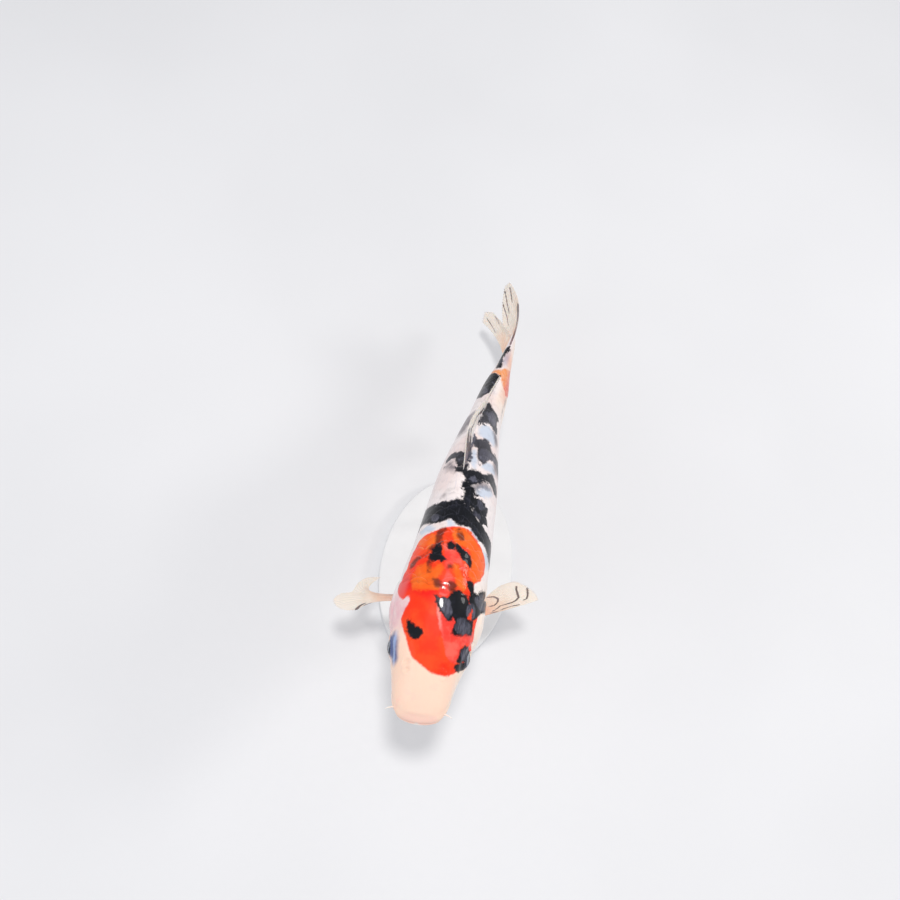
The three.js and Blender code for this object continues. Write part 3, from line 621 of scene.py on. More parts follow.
PEACH = paint(252, 216, 194)
PEACH_PINK = paint(250, 206, 192)
CREAM = paint(250, 230, 212)
SKIN_WHITE = paint(244, 234, 232)
SKIN_PINK = paint(240, 220, 216)
LAVENDER = paint(214, 206, 216)
CHEEK_LILAC = paint(232, 178, 188)
BELLY_WHITE = paint(242, 234, 228)
RED_HEAD = paint(250, 54, 16)
RED_DEEP = paint(238, 16, 14)
RED_WARM = paint(250, 74, 26)
AMBER = paint(248, 98, 20)
AMBER_PALE = paint(250, 116, 38)
FLUSH = paint(242, 60, 50)
FLUSH_PALE = paint(246, 104, 90)
GILL_PINK = paint(236, 84, 82)
TAIL_YELLOW = paint(240, 146, 70)
TAIL_RED = paint(226, 92, 66)
INK = paint(5, 8, 17)
INK_SOFT = paint(31, 33, 46)
SLATE = paint(60, 60, 72)
SLATE_PALE = paint(94, 94, 108)
ORBIT_BLUE = paint(84, 98, 146)
ORBIT_HIGHLIGHT = paint(156, 176, 218)
PALE_BLUE = paint(200, 210, 226)
BROWN = paint(88, 30, 16)
GREY_AND_SHADE = paint(92, 84, 92)
STEM_BLUSH = paint(240, 172, 142)
GLEAM = paint(250, 160, 150)
REAR_GREY = paint(150, 146, 156)
STEM_LILAC = paint(176, 150, 158)


def fish_colour(g, rim=None, shade=None):
    """The colour of skin and scales. rim is 1 at a scale's edge, and shade varies by scale."""
    mix, step, times, add = g.mix, g.step, g.times, g.add
    around, bell, noise, field = g.around, g.bell, g.noise, g.field
    station, belly, girth = field("station"), field("belly"), field("girth")
    broad = noise(38, 3, 0.55)
    mottle = noise(150, 4, 0.62)
    fine = noise(560, 3, 0.6)
    blotch = noise(75, 3, 0.6)
    jitter = add(around(mottle, 0.62), around(fine, 0.5))
    if shade is not None:
        jitter = add(jitter, around(shade, 0.35))
    on_body = step(station, 30, 40)
    along = g.vector(times(station, 0.45), times(girth, 2.2), 0.0)
    streak = noise(1.0, 4, 0.65, vector=along)

    # The pale ground: peach on the snout, white behind, cream to the left and lilac on the cheek.
    colour = mix(step(station, 10, 24), PEACH, SKIN_WHITE)
    colour = mix(times(step(mottle, 0.5, 0.75, 0, 0.6), step(station, 14, 2)), colour, PEACH_PINK)
    colour = mix(step(station, 0.8, -0.8, 0, 0.7), colour, PEACH_PINK)
    colour = mix(times(step(girth, 6, 11), step(station, 34, 22, 0, 0.7)), colour, CREAM)
    cheek = times(step(girth, -4.5, -6.5), times(step(station, 14, 17.5), step(station, 25, 20)))
    colour = mix(times(cheek, step(mottle, 0.25, 0.6, 0.35, 0.85)), colour, CHEEK_LILAC)
    colour = mix(times(on_body, step(broad, 0.42, 0.62, 0.0, 0.85)), colour, SKIN_PINK)
    colour = mix(times(on_body, step(streak, 0.5, 0.72, 0.0, 0.6)), colour, LAVENDER)
    colour = mix(times(step(station, 72, 78), step(girth, 0.5, 3.0, 0, 0.75)), colour, CREAM)
    colour = mix(step(belly, 0.55, 0.8, 0, 0.9), colour, BELLY_WHITE)
    colour = mix(step(add(field("pale"), jitter), -0.5, 0.7, 0, 0.9), colour, PALE_BLUE)
    # Grey marks: two of them are painted shade (see the grey outlines), the rest soft grey beside the black.
    grey_and_shade = step(add(field("grey"), times(jitter, 1.1)), -0.9, 1.5, 0, 0.85)
    colour = mix(grey_and_shade, colour, GREY_AND_SHADE)

    # Red, smooth on the head, with orange patches over the shoulders, a pinker flush, and a painted
    # highlight along the flush's edge on the crown.
    red = add(field("red"), times(jitter, 0.45))
    tone = mix(step(blotch, 0.4, 0.64), RED_HEAD, RED_WARM)
    deep = times(bell(add(station, around(broad, 4.0)), 22.4, 2.2), step(girth, 0.5, -1.5))
    tone = mix(times(deep, 0.85), tone, RED_DEEP)
    amber = step(add(field("orange"), jitter), -0.35, 0.55)
    amber_tone = mix(step(mottle, 0.42, 0.72), AMBER, AMBER_PALE)
    tone = mix(amber, tone, amber_tone)
    # The flush is partly the skin's own pinker red and partly a painted sheen on the wet skin.
    flush = add(field("flush"), times(jitter, 0.6))
    flush_tone = mix(step(add(mottle, around(blotch, 0.6)), 0.3, 0.85), FLUSH, FLUSH_PALE)
    # A painted highlight: a pale line along the flush's edge on the crown.
    ridge_highlight = times(bell(flush, 0.4, 0.6), step(girth, 3.2, 1.2))
    ridge_highlight = times(ridge_highlight, step(station, 23, 21.5))
    flush_tone = mix(times(ridge_highlight, step(station, 14, 17, 0.0, 0.75)), flush_tone, GLEAM)
    flush = step(flush, -0.2, 0.35)
    tone = mix(times(flush, 0.9), tone, flush_tone)
    gill = times(step(girth, -7.0, -8.8), times(step(station, 19, 21), step(station, 28, 25)))
    tone = mix(times(gill, 0.85), tone, GILL_PINK)
    tone = mix(times(bell(red, 0.0, 0.5), 0.4), tone, FLUSH_PALE)
    colour = mix(step(red, -0.22, 0.26), colour, tone)

    # The orange round the tail, yellow on the back and red low on the left, with a blush before it.
    blush = times(bell(add(station, around(mottle, 3.0)), 82.0, 5.5), bell(girth, 4.4, 3.2))
    colour = mix(times(blush, 0.75), colour, STEM_BLUSH)
    lilac = times(bell(station, 92.8, 4.5), step(girth, -0.8, 0.3))
    colour = mix(times(lilac, 0.7), colour, mix(step(girth, 0.6, 2.2), STEM_LILAC, STEM_BLUSH))
    tail = times(amber, step(station, 60, 70))
    tail_tone = mix(step(add(girth, around(mottle, 2.0)), 1.2, 4.2), TAIL_YELLOW, TAIL_RED)
    colour = mix(times(tail, step(fine, 0.3, 0.7, 0.75, 1.0)), colour, tail_tone)
    brown = step(add(field("brown"), times(jitter, 0.7)), -0.45, 0.4)
    colour = mix(times(brown, 0.85), colour, BROWN)
    # Over the right eye: blue-grey, partly painted shade, with a paler band along it that is a painted
    # highlight.
    blue = add(field("blue"), times(jitter, 0.6))
    blue_tone = mix(bell(add(girth, around(mottle, 0.8)), -8.3, 0.9), ORBIT_BLUE, ORBIT_HIGHLIGHT)
    colour = mix(step(blue, -0.9, 0.9), colour, blue_tone)

    # Black, with a ragged edge, slate hearts and grey mottling among the scales.
    black = add(field("black"), times(jitter, 1.1))
    ink = mix(step(mottle, 0.5, 0.75, 0, 0.8), INK, INK_SOFT)
    ink = mix(times(on_body, step(streak, 0.52, 0.74, 0, 0.8)), ink, SLATE)
    slate = step(add(field("slate"), times(jitter, 0.8)), -0.2, 0.3)
    heart = mix(step(add(mottle, around(streak, 0.6)), 0.4, 0.75), SLATE, SLATE_PALE)
    ink = mix(times(slate, 0.92), ink, heart)
    ink = mix(times(bell(station, 64.0, 16.0), 0.2), ink, REAR_GREY)
    if rim is not None:
        ink = mix(times(rim, step(shade, 0.2, 0.9, 0, 0.35)), ink, SLATE)
        colour = mix(times(rim, step(shade, 0.2, 0.9, 0, 0.10)), colour, SKIN_WHITE)
    return mix(step(black, -0.25, 0.35), colour, ink)


def skin_material():
    g = Graph("koi_skin")
    pores, soft = g.noise(1500, 3, 0.6), g.noise(240, 2, 0.5)
    return g.surface(
        fish_colour(g), g.step(soft, 0.2, 0.8, 0.3, 0.46),
        g.bump(g.add(g.times(pores, 0.5), soft), 0.12, 0.4 * MM), coat=(0.5, 0.04, 1.34),
        flesh=(0.1, (0.004, 0.002, 0.0015), 0.5), extra={"Specular IOR Level": 0.12})


def scale_material():
    g = Graph("koi_scales")
    across, along, shade = g.field("scale_across"), g.field("scale_along"), g.field("scale_shade")
    colour = fish_colour(g, g.step(along, 0.86, 1.0), shade)
    # Darker towards the root, where the scale goes under the one ahead: partly the scale's own tone, partly
    # painted shade.
    root = g.step(along, 0.4, 0.75, 0.88, 1.0)
    colour = g.mix(1.0, colour, g.vector(root, root, root), "MULTIPLY")
    rings = g.math("SINE", g.times(along, 60.0))
    rays = g.math("SINE", g.times(across, 26.0))
    relief = g.add(g.times(rings, 0.2), g.add(g.times(rays, 0.2), g.noise(900, 3, 0.6)))
    return g.surface(
        colour, g.step(g.noise(300, 2), 0.2, 0.8, 0.32, 0.48), g.bump(relief, 0.14, 0.25 * MM),
        coat=(0.45, 0.05, 1.34), extra={"Specular IOR Level": 0.12})


# ---- the skin ----

NOSE_RINGS = 30
HEAD_RING_STEP = 0.15
HEAD_RINGS_END = 30.0
BODY_RING_STEP = 0.43
RING_SIDES = 240

PREOPERCLE = [(16.2, 5.0), (17.9, 1.6), (17.6, -3.2), (15.2, -6.4), (10.8, -6.0)]
NOSTRIL = (7.7, 3.7)
gill_cover_curve = closed_curve(GILL_COVER[::-1])


def skin_lift(station, side, height):
    """How far the skin stands out of the plain body surface, in metres."""
    lift = -HEAD_INSET - (COAT_DEPTH - HEAD_INSET) * smooth_step(22, 29, station)

    # The mouth: a cleft between two rolled lips, with a fold behind each.
    above = height - mouth_height(station)
    open_mouth = 1 - smooth_step(4.4, 6.2, station)
    lips = 0.35 * bell(above - 0.9, 0.7) + 0.4 * bell(above + 0.9, 0.5) - 1.3 * bell(above, 0.24)
    folds = -0.14 * bell(above - 2.3, 0.45) - 0.3 * bell(above + 2.0, 0.35)
    lift = lift + open_mouth * (lips + folds) * MM

    # Nostrils, each a round pit with a flap over a wider one.
    upper = smooth_step(0, 2, height)
    to_front = np.hypot(station - NOSTRIL[0], np.abs(side) - NOSTRIL[1])
    to_rear = np.hypot(station - NOSTRIL[0] - 1.15, np.abs(side) - NOSTRIL[1] - 0.25)
    flap = np.hypot(station - NOSTRIL[0] - 0.5, (np.abs(side) - NOSTRIL[1] - 0.1) * 0.6)
    pits = -0.8 * bell(to_front, 0.42) - 0.9 * bell(to_rear, 0.5) + 0.45 * bell(flap, 0.34)
    rims = 0.22 * bell(to_front - 0.9, 0.3) + 0.22 * bell(to_rear - 1.0, 0.3)
    lift = lift + upper * (pits + rims) * MM

    # Eye sockets with a raised rim and a soft groove round it.
    from_eye = np.hypot(station - EYE_STATION, height - EYE_HEIGHT) * UNIT / MM
    socket = -3.0 * (1 - smooth_step(3.5, 4.9, from_eye))
    rim = 0.6 * bell(from_eye - 5.4, 0.7) - 0.25 * bell(from_eye - 7.8, 0.9)
    over_eye = np.hypot((station - EYE_STATION + 0.3) / 2.4, (height - EYE_HEIGHT - 3.4) / 1.5)
    brow = 1.0 * bell(over_eye, 1.0)
    lift = lift + (socket + rim + brow) * MM

    # Cheek and gill cover.
    cheek = line_distance(PREOPERCLE, station, height)
    lift = lift - 0.4 * bell(cheek, 0.45) * MM
    cover = inside_distance(gill_cover_curve, station, height)
    lift = lift + (0.45 * smooth_step(-0.2, 1.0, cover) - 0.3 * bell(cover + 0.3, 0.35)) * MM

    # The gill opening: a step down behind the cover, soft above it at the nape.
    behind = station - gill_station(height)
    slit = 1 - smooth_step(5.5, 8.5, height)
    shoulder = np.where(behind > 0, -1.1 * np.exp(-np.maximum(behind, 0) / 1.3), 0)
    edge = 0.25 * bell(behind + 0.5, 0.5)
    nape = -0.22 * bell(behind, 0.6)
    lift = lift + (slit * (shoulder + edge) + (1 - slit) * nape) * MM

    # The crown is a little hollow between two low ridges over the eyes.
    crown = smooth_step(6, 10, station) * (1 - smooth_step(17, 22, station)) * upper
    lift = lift + crown * (0.25 * bell(np.abs(side) - 4.6, 1.3) - 0.2 * bell(side, 1.6)) * MM

    # Grooves of the throat, and the swelling where a front fin joins the body.
    throat = (1 - smooth_step(-5, -3, height)) * smooth_step(5, 8, station)
    throat = throat * (1 - smooth_step(19, 23, station))
    lift = lift - 0.5 * throat * bell(np.abs(side) - 2.6 + 0.08 * station, 0.4) * MM
    fin_root = np.hypot((station - 29.0) / 2.4, (height + 7.3) / 2.2)
    return lift + 0.7 * bell(fin_root, 1.0) * MM


def ring_stations():
    turn = np.linspace(0, math.pi / 2, NOSE_RINGS + 1)[1:]
    nose = SNOUT + NOSE_ROUND * (1 - np.cos(turn))
    head = np.arange(nose[-1] + HEAD_RING_STEP, HEAD_RINGS_END, HEAD_RING_STEP)
    count = round((BODY_END - HEAD_RINGS_END) / BODY_RING_STEP)
    return np.concatenate([nose, head, np.linspace(HEAD_RINGS_END, BODY_END, count)])


def grid_map(rows, columns):
    """UV pairs for grid_quads of a closed grid: rows run over u, and the ring over v."""
    i, j = np.indices((rows - 1, columns)).reshape(2, -1)
    corners = [np.stack([(i + di) / (rows - 1), (j + dj) / columns], axis=1)
               for di, dj in ((0, 0), (0, 1), (1, 1), (1, 0))]
    return np.stack(corners, axis=1).reshape(-1, 2)


def make_skin(material):
    stations = ring_stations()
    angles = -math.pi + 2 * math.pi * np.arange(RING_SIDES) / RING_SIDES
    station, angle = [a.ravel() for a in np.meshgrid(stations, angles, indexing="ij")]
    side, height = section(station, angle)
    lift = skin_lift(station, side, height)
    points = place(station, side, height) + lift[:, None] * body_normal(station, angle)
    rows = len(stations)
    quads = grid_quads(rows, RING_SIDES, closed=True)

    # The snout and the tail root are closed by a fan each.
    points = np.concatenate([points, [points[:RING_SIDES].mean(0), points[-RING_SIDES:].mean(0)]])
    triangles = end_fans(points, rows, RING_SIDES)
    ends = np.full((len(triangles) * 3, 2), 0.5)
    ends[:, 0] = np.arange(len(ends)) >= len(ends) / 2

    girth = np.append(girth_at(station, angle), [0, 0])
    fields = marking_fields(np.append(station, [SNOUT, BODY_END]), girth)
    maps = {"OFBake": np.concatenate([grid_map(rows, RING_SIDES), ends])}
    piece = make_piece("skin", points, quads, triangles, fields, maps, material)
    belongs(piece, "skin_trunk", "head", "lower_jaw", "gill_cover_left", "gill_cover_right",
            "trunk_front", "trunk_rear", "tail_stem")


# ---- scales ----

LATERAL_LINE = [(22, 4.0), (28, 3.4), (36, 1.6), (45, 0.6), (60, 0.2), (80, 0.0), (100, 0.0)]
ROWS_ABOVE = [(22, 6), (49, 6), (80, 4), (100, 4)]
ROWS_BELOW = [(22, 6.5), (49, 6.5), (80, 4.5), (100, 4.5)]
SCALE_PITCH = [(22, 2.2), (50, 2.15), (80, 1.95), (100, 1.8)]
TOP_ROW = 6
LOWEST_ROW = -6
SCALES_START = 21.0
SCALES_END = 99.3
GILL_CLEARANCE = 1.0
SCALE_REACH = 2.1
SCALE_ROUNDING = 0.95
SCALE_ALONG = np.array([0, 0.3, 0.5, 0.64, 0.75, 0.84, 0.92, 0.97, 1.0])
SCALE_ACROSS = np.sin(np.linspace(-math.pi / 2, math.pi / 2, 9))
SCALE_ROOT_DEPTH = -0.12 * MM
SCALE_EDGE_RISE = 0.32 * MM
SCALE_CROWN = 0.08 * MM
SCALE_THICKNESS = 0.16 * MM
SCALE_TURN_DOWN = 0.10 * MM
SCALE_WIDTH = 0.98
SCALE_ROOT_WIDTH = 0.72
PATCH = 0.017

lateral_height = monotone(LATERAL_LINE)


def straight(table, at):
    """Reads a table of (place, value) in straight lines between its entries."""
    return np.interp(at, *np.array(table, float).T)


def lateral_girth(station):
    top, bottom = back_height(station), belly_height(station)
    trunk = smooth_step(*FULLNESS_BLEND, station)
    fullness = HEAD_FULLNESS + (TRUNK_FULLNESS - HEAD_FULLNESS) * trunk
    level = (lateral_height(station) - (top + bottom) / 2) / ((top - bottom) / 2)
    cosine = np.sign(level) * np.abs(level) ** (1 / fullness)
    return girth_at(station, np.arccos(np.clip(cosine, -1, 1)))


def row_girth(row, station):
    """Where a row of scales runs: 0 is the lateral line, rows above it are positive."""
    line = lateral_girth(station)
    up = line * (1 - row / straight(ROWS_ABOVE, station))
    down = line - (half_girth(station) - line) * row / straight(ROWS_BELOW, station)
    return np.where(row >= 0, up, down)


def row_spacing(row, station):
    return np.abs(row_girth(row + 0.5, station) - row_girth(row - 0.5, station))


def scale_columns():
    stations = [SCALES_START]
    while stations[-1] < SCALES_END:
        stations.append(stations[-1] + straight(SCALE_PITCH, stations[-1]))
    return np.array(stations)


def scale_places(hand):
    """(row, rear edge's station, pitch) of every scale on one side, or on the ridge (hand 0)."""
    columns = scale_columns()
    places = []
    for row in range(TOP_ROW, LOWEST_ROW - 1, -1):
        for left, right in zip(columns[:-1], columns[1:]):
            pitch = right - left
            station = left + pitch * (0.5 if row % 2 else 1.0)
            rows_above, rows_below = straight(ROWS_ABOVE, station), straight(ROWS_BELOW, station)
            on_ridge = abs(row - rows_above) < 0.2
            if (row > rows_above - 0.45 and not on_ridge) or -row > rows_below - 0.35:
                continue
            if on_ridge != (hand == 0):
                continue
            height = section(station, angle_at(station, row_girth(row, station)))[1]
            if station < gill_station(height) + GILL_CLEARANCE:
                continue
            places.append((row, station, pitch))
    return places


def make_scales(name, hand, material):
    places = scale_places(hand)
    row, edge, pitch = [np.array(column, float)[:, None, None] for column in zip(*places)]
    count = len(places)
    along = SCALE_ALONG[None, :, None]
    across = SCALE_ACROSS[None, None, :]
    width = row_spacing(row, edge) * SCALE_WIDTH
    middle = row_girth(row, edge)
    rounding = SCALE_ROUNDING * pitch * (1 - np.sqrt(1 - (0.97 * across) ** 2))
    # The first scales are short, and start behind the gill opening.
    own_height = section(edge, angle_at(edge.ravel(), middle.ravel()).reshape(edge.shape))[1]
    root = np.maximum(edge - SCALE_REACH * pitch, gill_station(own_height) + GILL_CLEARANCE / 4)
    taper = SCALE_ROOT_WIDTH + 0.28 * smooth_step(0, 0.6, along)
    station = root + (edge - rounding - root) * along
    # A scale's own row bends with the body, so its middle follows the row's line.
    line = row_girth(row, station)
    room = np.clip((half_girth(station) - line) / (width * taper), 0, 1)
    girth = line + width * taper * across * np.where(across > 0, room, 1)
    sign = 1.0 if hand >= 0 else -1.0
    station = np.broadcast_to(station, girth.shape)
    tilt = SCALE_ROOT_DEPTH + (SCALE_EDGE_RISE - SCALE_ROOT_DEPTH) * along
    dome = SCALE_CROWN * (1 - across ** 2) * np.sin(math.pi * np.clip(along, 0, 1)) ** 0.5
    turned_down = -SCALE_TURN_DOWN * smooth_step(0.93, 1.0, along)
    own_lift = np.broadcast_to(tilt + dome + turned_down, girth.shape).ravel()
    flat_station = station.ravel()
    angle = angle_at(flat_station, girth.ravel() * sign)
    side, height = section(flat_station, angle)
    normal = body_normal(flat_station, angle)
    # What lies ahead of the gill opening stays at the level just behind it, under the cover.
    lift = own_lift + skin_lift(np.maximum(flat_station, gill_station(height) + 0.05), side, height)
    top = place(flat_station, side, height) + lift[:, None] * normal
    bottom = top - SCALE_THICKNESS * normal
    points = np.stack([top.reshape(count, -1, 3), bottom.reshape(count, -1, 3)], axis=1)

    rows, columns = len(SCALE_ALONG), len(SCALE_ACROSS)
    one = shell_quads(rows, columns)
    if sign > 0:
        one = one[:, ::-1]
    quads = (one + 2 * rows * columns * np.arange(count)[:, None, None]).reshape(-1, 4)

    def both(values):
        """The values for the upper and the lower face of every scale."""
        spread = np.broadcast_to(values, girth.shape).reshape(count, 1, -1)
        return np.repeat(spread, 2, axis=1).ravel()

    fields = marking_fields(both(station), both(girth * sign))
    fields["scale_along"] = both(along)
    fields["scale_across"] = both(across)
    fields["scale_shade"] = both(random.random((count, 1, 1)))

    # Each scale has its own patch of the map, at its root's place on the unrolled skin. A short
    # scale's patch lies where a full-length one's root would be, so that no two patches overlap.
    at_u = (edge - SCALE_REACH * pitch) / BODY_END
    at_v = np.abs(middle) / np.max(half_girth(edge)) * 0.9 + 0.05
    u = both(at_u + PATCH * along)
    v = both(at_v + PATCH * across / 2)
    flat = quads.ravel()
    maps = {"OFBake": np.stack([u[flat], v[flat]], axis=1)}
    piece = make_piece(name, points.reshape(-1, 3), quads, (), fields, maps, material)
    belongs(piece, "skin_trunk")


# ---- fins ----

FIN_THINNING = 0.7
# Each table holds (station, side, height) for rays in even steps, from the fan's first to its last:
# where the rays start, the places they bend towards, and where they end.
DORSAL = {
    "root": [(50.4, -0.8, 14.6), (57, -0.3, 13.4), (64, -0.3, 12.0), (72, 0, 10.0), (80, 0.1, 7.6)],
    "bend": [(53.6, -1.2, 17.0), (59.3, -1.2, 16.8), (65.4, -1.0, 15.0), (72.8, -0.1, 12.2), (82, 0.4, 8.9)],
    "margin": [(56.6, -1.6, 18.6), (61.4, -1.9, 19.2), (66.6, -1.4, 17.2), (73.6, -0.2, 13.9),
               (84.2, 0.8, 9.8)],
    "rays": 19, "steps": 40,
}
ANAL = {
    "root": [(75.2, 0, -7.4), (77.5, 0, -6.6), (80, 0, -6.2), (82.6, 0, -5.6)],
    "bend": [(78.2, 0.2, -12.4), (81.4, 0.2, -11.4), (84, 0.2, -9.2), (86, 0.2, -7.2)],
    "margin": [(82.4, 0.8, -16.2), (85.2, 0.8, -15.4), (87.4, 0.8, -11.6), (88.8, 0.8, -8.4)],
    "rays": 7, "steps": 40,
}
CAUDAL_UPPER = {
    "root": [(99.6, 0, 0.1), (99.4, 0, 1.6), (98.8, 0, 3.2), (97.6, 0, 4.6), (96.2, 0, 5.9)],
    "bend": [(104.6, 0, 0.12), (105.6, 0.1, 1.9), (106.4, 0.3, 4.9), (106.2, 0.8, 8.6), (104.7, 1.0, 12.0)],
    "margin": [(109.6, -2.0, 0.15), (111.8, -1.6, 2.0), (113.8, -0.8, 5.0), (114.9, 0.1, 8.6),
               (113.6, 0.4, 12)],
    "rays": 10, "steps": 60,
}
CAUDAL_LOWER = {
    "root": [(99.6, 0, -0.1), (99.4, 0, -1.6), (98.8, 0, -3.2), (97.8, 0, -4.4), (96.6, 0, -5.2)],
    "bend": [(104.6, 0, -0.12), (107.3, -0.9, -2.0), (109.1, -2.5, -4.1), (109.8, -4.0, -6.2),
             (108.3, -4.5, -6.8)],
    "margin": [(109.6, -2.0, -0.15), (114.8, -1.3, -2.0), (118.6, 0.2, -4.2), (121, 0.4, -6.8),
               (120.8, -0.6, -9.4)],
    "rays": 10, "steps": 60,
}
PECTORAL_ROOT = [(27.6, 8.4, -6.2), (30.4, 7.7, -8.6)]
PECTORAL_LEFT = {
    "root": PECTORAL_ROOT,
    "bend": [(30.9, 14.3, -6.6), (33.3, 12.5, -8.0), (35.5, 9.6, -9.2)],
    "margin": [(36.1, 21.8, -8.0), (37.4, 20.9, -8.2), (39.1, 18.3, -8.7), (39.9, 15.6, -9.3),
               (38.5, 12.5, -10.0)],
    "rays": 16, "steps": 70,
}
PECTORAL_RIGHT = {
    "root": PECTORAL_ROOT,
    "bend": [(26.5, 15.8, -6.4), (27, 17.2, -7.4), (27.5, 18.2, -8.2), (27.1, 20.8, -9.2),
             (26.6, 22.7, -10.2)],
    "margin": [(23.9, 18.9, -9.0), (23.3, 21.7, -9.0), (23.7, 23.6, -9.2), (25.2, 25.1, -9.4),
               (27.0, 24.0, -9.4), (28.2, 21.2, -9.2), (30.9, 20.4, -9.7), (33.5, 18.3, -10.4),
               (34.8, 15.3, -11.4)],
    "rays": 18, "steps": 80,
}
PELVIC = {
    "root": [(49.6, 3.8, -11.2), (51.4, 2.2, -12.0)],
    "bend": [(55.6, 5.8, -13.4), (55, 2.8, -14.6)],
    "margin": [(61.2, 7.0, -15.6), (62.6, 6.2, -16.4), (61.4, 4.4, -17.2), (58.8, 2.8, -16.8)],
    "rays": 9, "steps": 50,
}
STEPS_PER_RAY = 10
MEMBRANE = 0.20 * MM
RAY_ROOT = 1.25 * MM
RAY_TIP = 0.30 * MM
BRANCHING = 0.42
MARGIN_NOTCH = 0.03
MARGIN_INSET = 0.012
MARGIN_EDGE = 0.6


def fin_patch(fin, hand=1):
    """point(u, v) on a fan of bent rays: u from root to margin, v from the first ray to the last."""
    rows = {}
    for key in ("root", "bend", "margin"):
        table = np.array(fin[key], float)
        share = np.linspace(0, 1, len(table))
        rows[key] = [monotone(np.column_stack([share, table[:, axis]])) for axis in range(3)]

    def point(u, v):
        station, side, height = [
            rows["root"][axis](v) * (1 - u) ** 2 + rows["bend"][axis](v) * 2 * u * (1 - u)
            + rows["margin"][axis](v) * u ** 2 for axis in range(3)]
        return place(station, hand * side, height)

    return point


def ray_relief(u, v, rays):
    """1 on a fin ray and 0 on the membrane: each ray forks towards the margin."""
    fork = 0.25 * smooth_step(BRANCHING, 1.0, u) ** 0.7
    phase = v * rays - np.floor(v * rays) - 0.5
    from_branch = np.abs(np.abs(phase) - fork)
    return np.clip(1 - from_branch / 0.2, 0, 1) ** 1.5


def make_fin(name, fin, material, nodes, hand=1, ink=None, depth=1.0):
    steps, columns = fin["steps"] + 1, fin["rays"] * STEPS_PER_RAY + 1
    u, v = np.meshgrid(np.linspace(0, 1, steps), np.linspace(0, 1, columns), indexing="ij")
    relief = ray_relief(u, v, fin["rays"])
    patch = fin_patch(fin, hand)
    # Between the rays the margin is cut back a little.
    inner = 1 - MARGIN_NOTCH * smooth_step(0.8, 1, u) * (1 - relief) - MARGIN_INSET
    u_at = u * inner
    small = 1e-3
    along_u = patch(u_at + small, v) - patch(u_at - small, v)
    along_v = patch(u_at, v + small) - patch(u_at, v - small)
    normal = unit(np.cross(along_u, along_v))
    ray = (RAY_ROOT + (RAY_TIP - RAY_ROOT) * u ** FIN_THINNING) * depth
    thickness = MEMBRANE + (ray - MEMBRANE) * relief
    thickness = np.where(u == 1, MARGIN_EDGE * MEMBRANE, thickness)
    middle = patch(u_at, v)
    offset = normal * thickness[..., None] / 2
    points = np.concatenate([(middle + offset).reshape(-1, 3), (middle - offset).reshape(-1, 3)])
    per_face = steps * columns
    quads = shell_quads(steps, columns)[:, ::-1]
    twice = lambda values: np.tile(values.ravel(), 2)
    fields = {"reach": twice(u), "fan": twice(v), "ray": twice(relief)}
    fields["ink"] = twice(ink(u, v)) if ink else np.zeros(2 * per_face)
    flat = quads.ravel()
    face = np.where(flat >= per_face, 0.5, 0.0)
    inside = flat % per_face
    maps = {"OFBake": np.stack([u.ravel()[inside], v.ravel()[inside] * 0.49 + face], axis=1)}
    belongs(make_piece(name, points, quads, (), fields, maps, material), "fin", *nodes)


# Dark streaks on the fins: open lines of fan,reach pairs, each with its half width.
STREAKS = {
    "dorsal": [
        ([0.08,0.0, 0.11,0.35, 0.15,0.62, 0.2,0.8], 0.085),
        ([0.17,0.02, 0.22,0.25, 0.26,0.42], 0.07),
        ([0.26,0.3, 0.29,0.5, 0.34,0.66, 0.43,0.6, 0.55,0.64, 0.62,0.58, 0.67,0.5], 0.028),
        ([0.66,0.52, 0.68,0.46], 0.045),
        # Along the root of the back fin: painted shade where the fin meets the body.
        ([0.28,0.02, 0.45,0.02, 0.6,0.04, 0.75,0.05, 0.88,0.1], 0.05),
        ([0.86,0.55, 0.93,0.5, 1.0,0.45], 0.045),
    ],
    "caudal_upper": [
        ([0.47,1.0, 0.4,0.92, 0.32,0.8, 0.18,0.72], 0.017),
        ([0.72,1.0, 0.56,0.86, 0.45,0.74], 0.016),
        ([0.9,0.93, 0.82,0.84, 0.7,0.74], 0.015),
        ([0.92,0.0, 0.9,0.2, 0.88,0.34, 0.94,0.52], 0.10),
    ],
    "caudal_lower": [
        ([0.86,0.68, 0.82,0.82, 0.8,0.93], 0.014),
        ([0.5,0.74, 0.46,0.9], 0.012),
    ],
    "pectoral_left": [
        ([0.95,0.42, 0.77,0.49, 0.6,0.5, 0.5,0.45, 0.42,0.36, 0.5,0.28], 0.019),
        ([0.12,0.28, 0.22,0.38, 0.3,0.44, 0.28,0.53, 0.26,0.62, 0.28,0.69, 0.34,0.76, 0.43,0.79,
          0.55,0.84, 0.62,0.9], 0.017),
        ([0.06,0.2, 0.02,0.3, 0.05,0.4, 0.1,0.5, 0.1,0.6, 0.06,0.7], 0.016),
        ([0.44,0.98, 0.38,0.94, 0.28,0.88, 0.2,0.84, 0.2,0.8], 0.015),
    ],
    "pectoral_right": [
        ([0.09,0.64, 0.05,0.8, 0.01,0.98], 0.018),
        ([0.01,0.6, 0.01,0.76], 0.014),
    ],
}


def streaks(name):
    """ink(u, v) from 0 to 1 for a fin's dark streaks."""
    def ink(u, v):
        dark = np.zeros(np.shape(u))
        for line, width in STREAKS[name]:
            away = line_distance(np.reshape(line, (-1, 2)), v, u) / width
            dark = np.maximum(dark, 1 - smooth_step(0.55, 1.6, away))
        return dark

    return ink


FIN_CREAM = paint(252, 240, 226)
FIN_PEACH = paint(250, 214, 192)
FIN_FLESH = paint(244, 176, 150)
FIN_WHITE = paint(238, 230, 228)
FIN_INK_AND_SHADE = paint(58, 48, 54)
FIN_LILAC = paint(112, 100, 112)


